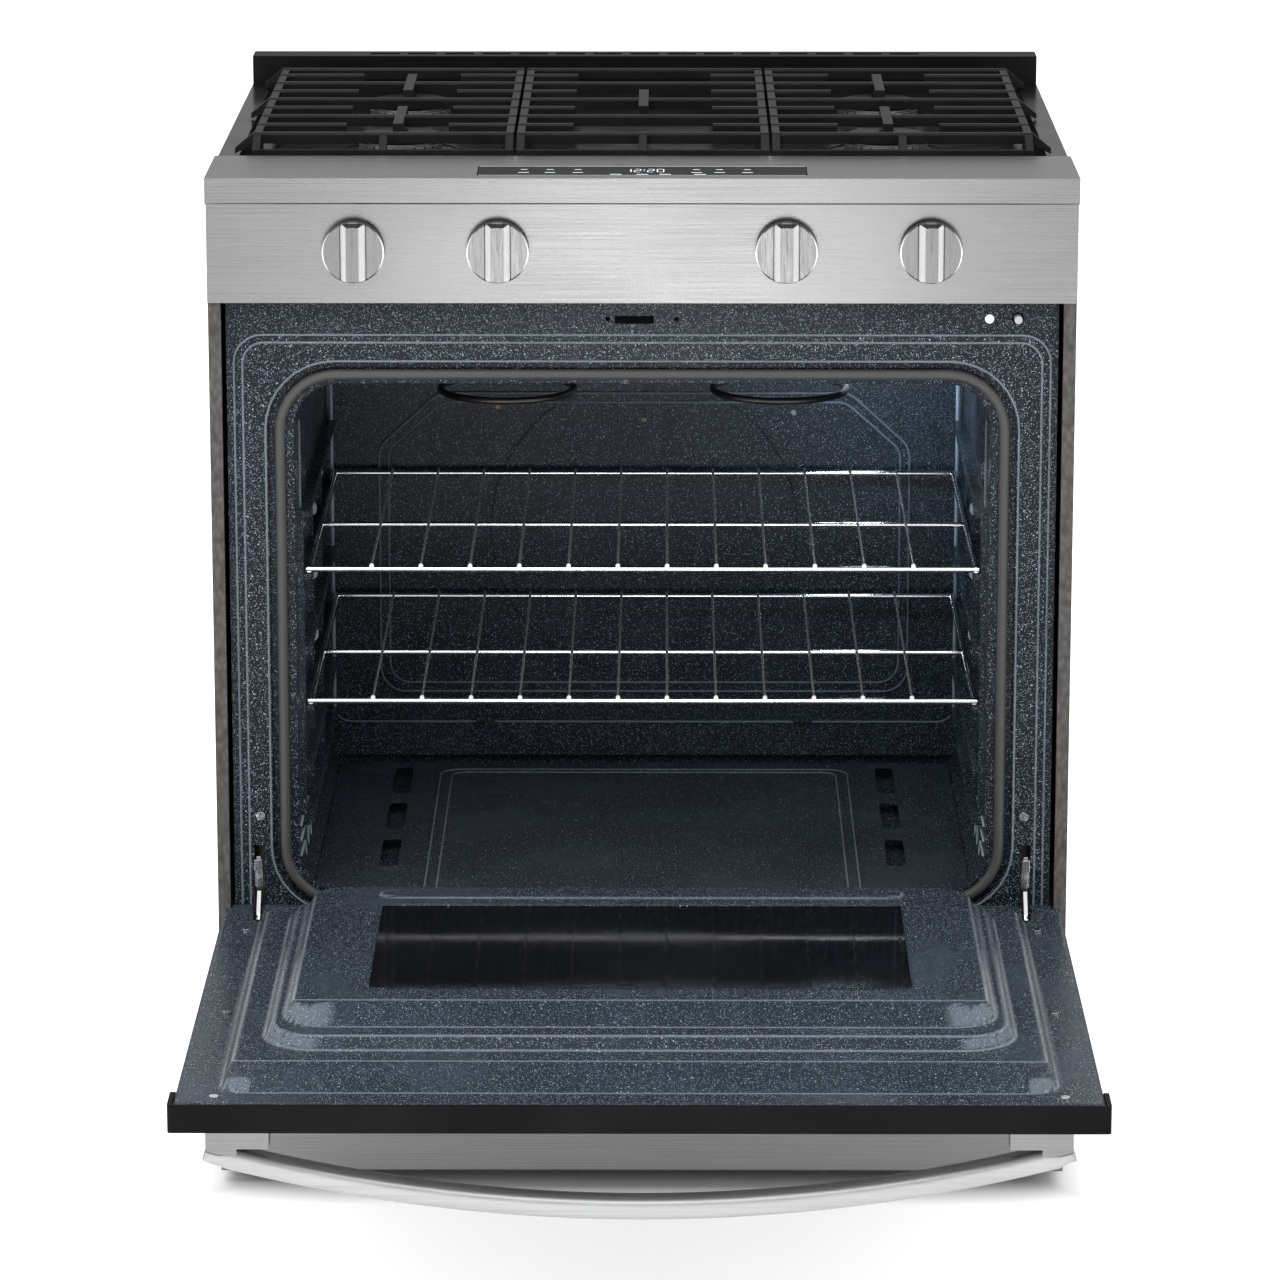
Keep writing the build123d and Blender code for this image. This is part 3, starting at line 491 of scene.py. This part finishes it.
def make_light():
    """Soft studio light: pale surroundings, a key, three fills and a faint cavity glow."""
    world = bpy.data.worlds.new("studio")
    bpy.context.scene.world = world
    world.use_nodes = True
    tree = world.node_tree
    place = tree.nodes.new("ShaderNodeTexCoord")
    axes = tree.nodes.new("ShaderNodeSeparateXYZ")
    ramp = tree.nodes.new("ShaderNodeValToRGB")
    tree.links.new(place.outputs["Generated"], axes.inputs["Vector"])
    tree.links.new(axes.outputs["Z"], ramp.inputs["Fac"])
    tree.links.new(ramp.outputs["Color"], tree.nodes["Background"].inputs["Color"])
    ramp.color_ramp.elements[0].position = HORIZON
    ramp.color_ramp.elements[0].color = (0.42, 0.42, 0.425, 1)
    ramp.color_ramp.elements[1].position = OVERHEAD
    ramp.color_ramp.elements[1].color = (1, 1, 1, 1)
    tree.nodes["Background"].inputs["Strength"].default_value = 1.0
    area_light("key", (-0.5, -2.2, 3.0), (0, 0, 0.5), (2.4, 1.4), 46)
    area_light("fill_left", (-3.0, -1.8, 1.3), (0, 0, 0.5), (0.7, 2.0), 16)
    area_light("fill_right", (3.0, -1.8, 1.3), (0, 0, 0.5), (0.7, 2.0), 16)
    area_light("low_front", (0.0, -3.3, 0.2), (0, 0, 0.85), (0.4, 0.5), 6.0)
    area_light("cavity_glow", (0.2, 0.28, 0.71), (0.25, 0.44, 0.60), (0.06, 0.06), 0.5,
               (0.6, 0.8, 1.0))


HORIZON = 0.12           # the surroundings are grey up to this height on the unit sphere
OVERHEAD = 0.5          # and white above this one
CAMERA_PLACE = (0.020, -4.9985, 1.708)
CAMERA_PITCH_DOWN = 0.2384
CAMERA_YAW = 0.0044
CAMERA_LENS = 162.4      # mm on a 36 mm sensor


def make_camera():
    """Long lens in front of the range, looking slightly down."""
    data = bpy.data.cameras.new("camera")
    data.lens = CAMERA_LENS
    data.sensor_width = 36.0
    data.clip_end = 50.0
    camera = bpy.data.objects.new("camera", data)
    bpy.context.collection.objects.link(camera)
    camera.location = CAMERA_PLACE
    camera.rotation_euler = (math.pi / 2 - CAMERA_PITCH_DOWN, 0, CAMERA_YAW)
    bpy.context.scene.camera = camera


def set_tone():
    """Plain display tone, so that the pale floor stays pale and the enamel stays deep."""
    bpy.context.scene.view_settings.view_transform = "Standard"
    bpy.context.scene.view_settings.look = "None"


# ---- door liner --------------------------------------------------------------------------------
def steps_between(stops):
    """Positions along an axis from (end, spacing) stops, starting at the first stop's end."""
    places = [stops[0][0]]
    for end, spacing in stops[1:]:
        count = max(1, round((end - places[-1]) / spacing))
        start = places[-1]
        places += [start + (end - start) * (i + 1) / count for i in range(count)]
    return places


def soft_ramp(t, soft):
    """0 to 1 as t goes from 0 to 1, with both bends rounded over the width soft."""
    if t <= -soft:
        return 0.0
    if t < soft:
        return (t + soft) ** 2 / (4 * soft)
    if t <= 1 - soft:
        return t
    if t < 1 + soft:
        return 1 - (1 + soft - t) ** 2 / (4 * soft)
    return 1.0


class Step:
    """One raised step of the liner: a rounded rectangle with its own slope on each side."""

    def __init__(self, half_w, far, near, corner, far_run, side_run, near_run, rise):
        self.half_w, self.far, self.near, self.corner = half_w, far, near, corner
        self.far_run, self.side_run, self.near_run, self.rise = far_run, side_run, near_run, rise

    def height(self, x, y):
        """Height at a place, its distance inside the step, the slope's run, and if on a corner."""
        from_side = self.half_w - abs(x)
        from_far = y - self.far
        from_near = self.near - y
        from_end = min(from_far, from_near)
        end_run = self.far_run if from_far < from_near else self.near_run
        a = self.corner - from_side
        b = self.corner - from_end
        if a > 0 and b > 0:
            inside = self.corner - math.hypot(a, b)
            run = (a * self.side_run + b * end_run) / (a + b)
        elif from_side / self.side_run < from_end / end_run:
            inside, run = from_side, self.side_run
        else:
            inside, run = from_end, end_run
        return self.rise * soft_ramp(inside / run, LINER_BEND / run), inside, run, a > 0 and b > 0

    def glint(self, x, y):
        """How much painted highlight: along both bends, and on the riser's far corners."""
        _, inside, run, corner = self.height(x, y)
        near_bend = min(abs(inside), abs(inside - run))
        line = max(0.0, 1.0 - near_bend / BEND_LINE)
        if y > self.far + self.far_run + self.corner:
            line *= SIDE_GLINT
        on_riser = PATCH_MARGIN < inside < run - PATCH_MARGIN
        if corner and y < (self.far + self.near) / 2 and on_riser:
            return max(line, PATCH_GLINT)
        return line


class Rib:
    """A long low rib with rounded ends, pressed up out of the liner."""

    def __init__(self, half_w, far, near, rise):
        self.half_w, self.middle, self.rise = half_w, (far + near) / 2, rise
        self.radius = (near - far) / 2

    def inside(self, x, y):
        along = max(0.0, abs(x) - (self.half_w - self.radius))
        return self.radius - math.hypot(along, y - self.middle)

    def height(self, x, y):
        return self.rise * soft_ramp(self.inside(x, y) / RIB_SLOPE, 0.5)

    def glint(self, x, y):
        return max(0.0, 1.0 - abs(self.inside(x, y) - RIB_SLOPE / 2) / BEND_LINE)


LINER_BEND = 2.2         # mm over which a bend of the liner is rounded
BEND_LINE = 1.7          # mm over which the painted highlight beside a bend fades out
RIB_SLOPE = 4.0          # mm over which a rib rises
SIDE_GLINT = 0.6         # how much of the bends' glint is left along the sides
PATCH_GLINT = 0.5        # glint of the risers' far corners
PATCH_MARGIN = 2.0       # mm between a corner patch and the bends beside it
LINER_STEPS = (
    Step(338.5, -522, -14, 24, 54, 7, 8, 10),
    Step(310.0, -442, -19.7, 46, 12, 7, 8, 10),
    Step(295.0, -409, -22.7, 36, 41, 7, 8, 11),
)
LINER_RIBS = (Rib(232, -70, -40, 1.5), Rib(242, -5, 13, 1.5))


LINER_FLANGE = 256.0     # height of the flange with the door lowered
# Mesh lines as (place, spacing up to that place): across from the middle, and from the far edge in.
LINER_COLUMNS = ((0, 0), (227, 12), (232, 2.5), (270, 9), (312, 2), (338, 1.6), (348, 2.5),
                 (366, 6), (373, 3.5))
LINER_ROWS = ((-552, 0), (-524, 7), (-518, 1.2), (-470, 8), (-464, 1.2), (-444, 5), (-426, 1.2),
              (-412, 4), (-405, 1.2), (-371, 6), (-364, 1.2), (-333, 8), (-89, 12), (-72, 8),
              (-34, 1.5), (16, 1.0), (19, 1.5))


def liner_hole(x, y):
    """Whether a place is in the window, in a hinge-arm slot or in a heel notch."""
    window = abs(x) < 227 and -333 < y < -89
    slot = 338 < abs(x) < 348 and y > -34
    notch = abs(x) > 366 and y > 8
    return window or slot or notch


def make_liner():
    """Door liner as one smooth embossed sheet with the window and hinge-arm openings."""
    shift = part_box("door_liner")[0][1] * 1000 - LINER_ROWS[0][0]
    right = steps_between(LINER_COLUMNS)
    columns = [-x for x in reversed(right[1:])] + right
    rows = steps_between(LINER_ROWS)
    mesh = bmesh.new()
    # per-vertex painted highlight along the bends, ribs and riser corners, read by the liner
    # material
    painted_highlight = mesh.verts.layers.float.new("glint")
    grid = []
    for y in rows:
        line = []
        for x in columns:
            rise = max(rib.height(x, y) for rib in LINER_RIBS)
            z = LINER_FLANGE + rise + sum(step.height(x, y)[0] for step in LINER_STEPS)
            vertex = mesh.verts.new((mm(x), mm(y + shift), mm(z)))
            vertex[painted_highlight] = max(shape.glint(x, y) for shape in LINER_STEPS + LINER_RIBS)
            line.append(vertex)
        grid.append(line)
    for j in range(len(rows) - 1):
        y = (rows[j] + rows[j + 1]) / 2
        for i in range(len(columns) - 1):
            x = (columns[i] + columns[i + 1]) / 2
            if liner_hole(x, y):
                continue
            corners = (grid[j][i], grid[j][i + 1], grid[j + 1][i + 1], grid[j + 1][i])
            mesh.faces.new(corners).smooth = True
    loose = [v for v in mesh.verts if not v.link_faces]
    bmesh.ops.delete(mesh, geom=loose, context="VERTS")
    sheet = piece_from(mesh, "liner_sheet", MATERIALS["liner_enamel"])
    skin = sheet.modifiers.new("thickness", "SOLIDIFY")
    skin.thickness = mm(1.0)
    skin.offset = -1.0
    belongs(sheet, "door", "door_liner")


# ---- beads and tubes ---------------------------------------------------------------------------
def rounded_path(corners, radius, closed=True, steps=8):
    """Polyline through the corners with every bend rounded to the radius; metres."""
    points = [Vector(c) for c in corners]
    count = len(points)
    path = []
    for i, corner in enumerate(points):
        if not closed and i in (0, count - 1):
            path.append(corner)
            continue
        before = (points[i - 1] - corner).normalized()
        after = (points[(i + 1) % count] - corner).normalized()
        angle = before.angle(after)
        cut = radius / math.tan(angle / 2)
        centre = corner + (before + after).normalized() * radius / math.sin(angle / 2)
        start = corner + before * cut - centre
        end = corner + after * cut - centre
        sweep = start.angle(end)
        for k in range(steps + 1):
            t = k / steps
            blend = start * math.sin((1 - t) * sweep) + end * math.sin(t * sweep)
            path.append(centre + blend / math.sin(sweep))
    return path


def lipped(points):
    """Points drawn with Y = 0 at the console's lip, in mm, moved to the shared frame in metres."""
    return [(mm(x), mm(y) + LIP_Y, mm(z)) for x, y, z in points]


def tube(name, paths, radius, material, body, replaced=None, sides=3):
    """Smooth round bead along one or more (points, closed) paths."""
    data = bpy.data.curves.new(name + "_path", "CURVE")
    data.dimensions = "3D"
    data.bevel_depth = radius
    data.bevel_resolution = sides
    data.use_fill_caps = True
    for points, closed in paths:
        line = data.splines.new("POLY")
        line.points.add(len(points) - 1)
        for held, point in zip(line.points, points):
            held.co = (*point, 1)
        line.use_cyclic_u = closed
        line.use_smooth = True
    drawn = bpy.data.objects.new(name + "_path", data)
    bpy.context.collection.objects.link(drawn)
    bpy.context.view_layer.update()
    mesh = bpy.data.meshes.new_from_object(drawn.evaluated_get(
        bpy.context.evaluated_depsgraph_get()))
    bpy.data.objects.remove(drawn)
    bpy.data.curves.remove(data)
    mesh.materials.clear()
    belongs(piece_with(mesh, name, MATERIALS[material]), body, replaced)


def upright_loop(half_w, low, high, corner, y):
    """Closed rounded rectangle that faces the front."""
    outline = lipped([(-half_w, y, low), (half_w, y, low), (half_w, y, high), (-half_w, y, high)])
    return rounded_path(outline, mm(corner))


LIP_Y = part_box("console_panel")[0][1]
CAVITY_BACK = 530.0      # the cavity's back wall, mm behind the console's lip


def make_beads():
    """Raised lines of the front frame, cavity and oven floor, coloured lighter than the enamel as
    painted highlights, and the gasket's smooth tube.
    """
    tube("gasket_tube", [(upright_loop(319, 256, 737, 50, 31), True)], mm(4.8), "gasket_weave",
         "range", "door_gasket", 6)
    field = rounded_path(lipped([(-358.5, 27.6, 252), (-358.5, 27.6, 773), (358.5, 27.6, 773),
                                 (358.5, 27.6, 252)]), mm(25), False)
    inner_field = rounded_path(lipped([(-351, 28.2, 252), (-351, 28.2, 766), (351, 28.2, 766),
                                       (351, 28.2, 252)]), mm(19), False)
    channel = upright_loop(331.5, 245.5, 749.5, 61, 27.6)
    tube("frame_beads", [(field, False), (inner_field, False), (channel, True)], mm(1.0),
         "bead_highlight_enamel", "range")
    back = CAVITY_BACK - 2.2
    outline = [(-257, back, 325), (257, back, 325), (257, back, 569), (199, back, 622),
               (-199, back, 622), (-257, back, 569)]
    inner = [(-248, back, 334), (248, back, 334), (248, back, 566), (195, back, 613),
             (-195, back, 613), (-248, back, 566)]
    ledge = [(-304, CAVITY_BACK - 9, 330), (-304, CAVITY_BACK - 9, 296),
             (304, CAVITY_BACK - 9, 296), (304, CAVITY_BACK - 9, 330)]
    lines = [(rounded_path(lipped(outline), mm(24)), True),
             (rounded_path(lipped(inner), mm(20)), True),
             (rounded_path(lipped(ledge), mm(18), False), False)]
    for side in (-1, 1):
        for y in (112, 520):
            wall = 307.4 if y < 500 else 304
            lines.append((lipped([(side * wall, y, 305), (side * wall, y, 680)]), False))
    tube("cavity_beads", lines, mm(1.1), "bead_highlight_enamel", "range")
    # corner coves in a light enamel: painted highlight down the back corners
    corners = [lipped([(side * 304.5, CAVITY_BACK - 3, 300), (side * 304.5, CAVITY_BACK - 3, 700)])
               for side in (-1, 1)]
    tube("cavity_corner_coves", [(line, False) for line in corners], mm(3.4), "lit_enamel",
         "range", sides=6)
    floor = [(-197, 40, 259.4), (197, 40, 259.4), (197, 476, 259.4), (-197, 476, 259.4)]
    rim = [(-186, 51, 259.4), (186, 51, 259.4), (186, 465, 259.4), (-186, 465, 259.4)]
    tube("floor_beads", [(rounded_path(lipped(floor), mm(20)), True),
                         (rounded_path(lipped(rim), mm(14)), True)], mm(0.9), "bead_highlight_enamel",
         "range")
    fans = []
    for side in (-1, 1):
        for reach in (26, 40, 54):
            fans.append((rounded_path(lipped([(side * 307.4, 62, 264 + reach),
                                              (side * 307.4, 62 + reach * 2.4, 264 + reach),
                                              (side * 307.4, 62 + reach * 2.4, 262)]),
                                      mm(reach * 0.7), False), False))
    tube("wall_pocket_lines", fans, mm(1.3), "lit_enamel", "range")


STOP_HEIGHTS = (442, 501, 562)
STOP_HALF_Y = 9.0
STOP_HALF_Z = 6.5
STOP_SOFTNESS = 0.7      # superellipse power of the outline
STOP_RINGS = ((1.0, 0.0), (0.86, 2.6), (0.6, 4.2), (0.3, 4.8))   # share of the size, mm proud
STOP_AROUND = 20


def make_studs():
    """Pressed stops on the cavity's side walls between the rack guides, coloured light as a painted
    highlight.
    """
    mesh = bmesh.new()
    for side in (-1, 1):
        for z in STOP_HEIGHTS:
            centre = Vector(lipped([(side * 307.6, 282, z)])[0])
            for reach, out in STOP_RINGS:
                for k in range(STOP_AROUND):
                    turn = k / STOP_AROUND * math.tau
                    y = STOP_HALF_Y * reach * power_round(math.cos(turn), STOP_SOFTNESS)
                    h = STOP_HALF_Z * reach * power_round(math.sin(turn), STOP_SOFTNESS)
                    mesh.verts.new(centre + Vector((-side * mm(out), mm(y), mm(h))))
            mesh.verts.ensure_lookup_table()
            first = len(mesh.verts) - len(STOP_RINGS) * STOP_AROUND
            for start in range(first, first + (len(STOP_RINGS) - 1) * STOP_AROUND, STOP_AROUND):
                for k in range(STOP_AROUND):
                    a, b = start + k, start + (k + 1) % STOP_AROUND
                    corners = [mesh.verts[i] for i in (a, b, b + STOP_AROUND, a + STOP_AROUND)]
                    mesh.faces.new(corners if side < 0 else corners[::-1]).smooth = True
            top = mesh.verts[-STOP_AROUND:]
            mesh.faces.new(top if side < 0 else top[::-1]).smooth = True
    belongs(piece_from(mesh, "rack_stops", MATERIALS["lit_enamel"]), "range")


RACK_BAR_R = 2.9         # front and rear cross bars
RACK_SIDE_R = 2.6        # middle bar and side wires
RACK_WIRE_R = 1.2
RACK_HEAD_R = 2.0
RACK_WIRE_PITCH = 44.2


def make_racks():
    """Chrome racks with smooth bars; the slim wires end in small upset heads on the front bar."""
    for node in ("rack_lower", "rack_upper"):
        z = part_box(node)[0][2] + mm(RACK_BAR_R)
        bars = []
        for y in (99.5, 514.6):
            bars.append((lipped([(-302, y, 0), (302, y, 0)]), False))
        middle = [(lipped([(-300, 284.5, 0), (300, 284.5, 0)]), False)]
        sides = [(lipped([(side * 299.2, 97, -0.2), (side * 299.2, 517, -0.2)]), False)
                 for side in (-1, 1)]
        wires = [(i - 5.5) * RACK_WIRE_PITCH for i in range(12)]
        slim = [(lipped([(x, 99, 3.6), (x, 516, 3.6)]), False) for x in wires]
        heads = [(lipped([(x, 97.2, 3.0), (x, 99.5, 3.4)]), False) for x in wires]
        for name, paths, radius, material in (
                ("_cross_bars", bars, RACK_BAR_R, "chrome"),
                ("_middle_bar", middle, RACK_SIDE_R, "chrome"),
                ("_side_wires", sides, RACK_SIDE_R, "chrome"),
                ("_slim_wires", slim, RACK_WIRE_R, "wire_metal_painted_glow"),
                ("_wire_heads", heads, RACK_HEAD_R, "head_metal_painted_glow")):
            raised = [([(x, y, h + z) for x, y, h in points], closed) for points, closed in paths]
            tube(node + name, raised, mm(radius), material, node, node, 4)


# ---- handle ------------------------------------------------------------------------------------
HANDLE_STATIONS = 96
HANDLE_AROUND = 40
HANDLE_SOFTNESS = 2.0 / 2.7      # superellipse power: between an oval and a rounded bar
HANDLE_HALF_Z = 9.9              # half the section's height, mm
HANDLE_END_INSET = 3.2           # the tilted ends stop this far inside the part's box, mm
HANDLE_LOW_RISE = 10.0           # the middle's centre line above the part's lowest point, mm
HANDLE_DOME = (0.82, 0.94, 0.99)     # share of the section at the last three stations


def make_handle():
    """Bowed handle as a smooth bar with a soft section and domed ends."""
    low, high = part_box("door_handle")
    half_y = (high[1] - low[1]) / 2 - mm(0.1)
    half_z = mm(HANDLE_HALF_Z)
    reach = high[0] - mm(HANDLE_END_INSET)
    bottom = low[2] + mm(HANDLE_LOW_RISE)
    sag = high[2] - half_z - bottom
    radius = (reach ** 2 + sag ** 2) / (2 * sag)
    sweep = math.asin(reach / radius)
    mesh = bmesh.new()
    rings = []
    for i in range(HANDLE_STATIONS + 1):
        t = 2 * i / HANDLE_STATIONS - 1
        turn = sweep * t
        centre = Vector((radius * math.sin(turn), (low[1] + high[1]) / 2,
                         bottom + radius * (1 - math.cos(turn))))
        outward = Vector((-math.sin(turn), 0, math.cos(turn)))
        from_end = (1 - abs(t)) * HANDLE_STATIONS / 2
        size = HANDLE_DOME[int(from_end)] if from_end < 2.5 else 1.0
        ring = []
        for k in range(HANDLE_AROUND):
            angle = math.tau * k / HANDLE_AROUND
            y = half_y * power_round(math.cos(angle), HANDLE_SOFTNESS) * size
            z = half_z * power_round(math.sin(angle), HANDLE_SOFTNESS) * size
            ring.append(mesh.verts.new(centre + Vector((0, y, 0)) + outward * z))
        rings.append(ring)
    for first, second in zip(rings, rings[1:]):
        for k in range(HANDLE_AROUND):
            nxt = (k + 1) % HANDLE_AROUND
            mesh.faces.new((first[k], first[nxt], second[nxt], second[k])).smooth = True
    mesh.faces.new(rings[0])
    mesh.faces.new(rings[-1][::-1])
    bmesh.ops.recalc_face_normals(mesh, faces=mesh.faces)
    piece = piece_from(mesh, "handle_bar", MATERIALS["handle_steel"])
    belongs(piece, "door", "door_handle")


# ---- display -----------------------------------------------------------------------------------
def glow_ink(name):
    """Pale printed or lit marks, with a little unevenness."""
    m = Nodes(name)
    cloud = m.noise(300.0, 2)
    m.set(Emission_Color=(0.9, 0.95, 1.0, 1), Emission_Strength=0.55)
    m.colour(m.mix(m.spread(cloud, 0.3, 0.7), (0.6, 0.62, 0.64), (0.8, 0.82, 0.84)))
    m.roughness(m.spread(cloud, 0.3, 0.7, 0.4, 0.6))
    return m.material


SEGMENTS = {"0": "abcdef", "1": "bc", "2": "abged", "5": "afgcd"}


class Marks:
    """Thin raised marks on the display glass, gathered into one mesh."""

    def __init__(self, z):
        self.mesh = bmesh.new()
        self.z = z

    def bar(self, x0, x1, y0, y1):
        """One flat mark between two corners, in metres."""
        thick = mm(0.12)
        made = bmesh.ops.create_cube(self.mesh, size=1.0)
        for vertex in made["verts"]:
            vertex.co.x = (x0 + x1) / 2 + vertex.co.x * (x1 - x0)
            vertex.co.y = (y0 + y1) / 2 + vertex.co.y * (y1 - y0)
            vertex.co.z = self.z - thick / 2 + vertex.co.z * thick

    def digit(self, character, x, y, wide, tall):
        """A seven-segment digit with its lower left corner at x, y."""
        t = wide * 0.16
        mid = y + tall / 2
        places = {
            "a": (x + t, x + wide - t, y + tall - t, y + tall),
            "b": (x + wide - t, x + wide, mid, y + tall - t),
            "c": (x + wide - t, x + wide, y + t, mid),
            "d": (x + t, x + wide - t, y, y + t),
            "e": (x, x + t, y + t, mid),
            "f": (x, x + t, mid, y + tall - t),
            "g": (x + t, x + wide - t, mid - t / 2, mid + t / 2),
        }
        for key in SEGMENTS[character]:
            self.bar(*places[key])


def make_display():
    """Clock digits and rows of plain dashes where the touch keys are."""
    low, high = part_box("display_glass")
    marks = Marks(high[2] + mm(0.05))
    width = high[0] - low[0]
    depth = high[1] - low[1]
    x = low[0] + width * 0.445
    for character in "12":
        marks.digit(character, x, low[1] + depth * 0.36, mm(6.5), mm(17))
        x += mm(8.5)
    for height in (0.47, 0.6):
        marks.bar(x, x + mm(1.2), low[1] + depth * height, low[1] + depth * height + mm(2))
    x += mm(3)
    for character in "20":
        marks.digit(character, x, low[1] + depth * 0.36, mm(6.5), mm(17))
        x += mm(8.5)
    for place in (0.14, 0.22, 0.305, 0.665, 0.735, 0.82):
        middle = low[0] + width * place
        for row, wide in ((0.3, 4.6), (0.62, 3.0)):
            y = low[1] + depth * row
            marks.bar(middle - mm(wide), middle + mm(wide), y, y + mm(1.8))
    for place in (0.42, 0.5, 0.57, 0.675):
        middle = low[0] + width * place
        y = low[1] + depth * 0.1
        marks.bar(middle - mm(5), middle + mm(5), y, y + mm(2.2))
    for y in (low[1] + mm(1.0), high[1] - mm(1.4)):
        marks.bar(low[0] + mm(1), high[0] - mm(1), y, y + mm(0.5))
    piece = piece_from(marks.mesh, "display_marks", glow_ink("display_ink"))
    belongs(piece, "range")


set_tone()
make_camera()
make_light()
make_stage()
dress_cad_nodes()
make_liner()
make_beads()
make_studs()
make_racks()
make_handle()
make_display()
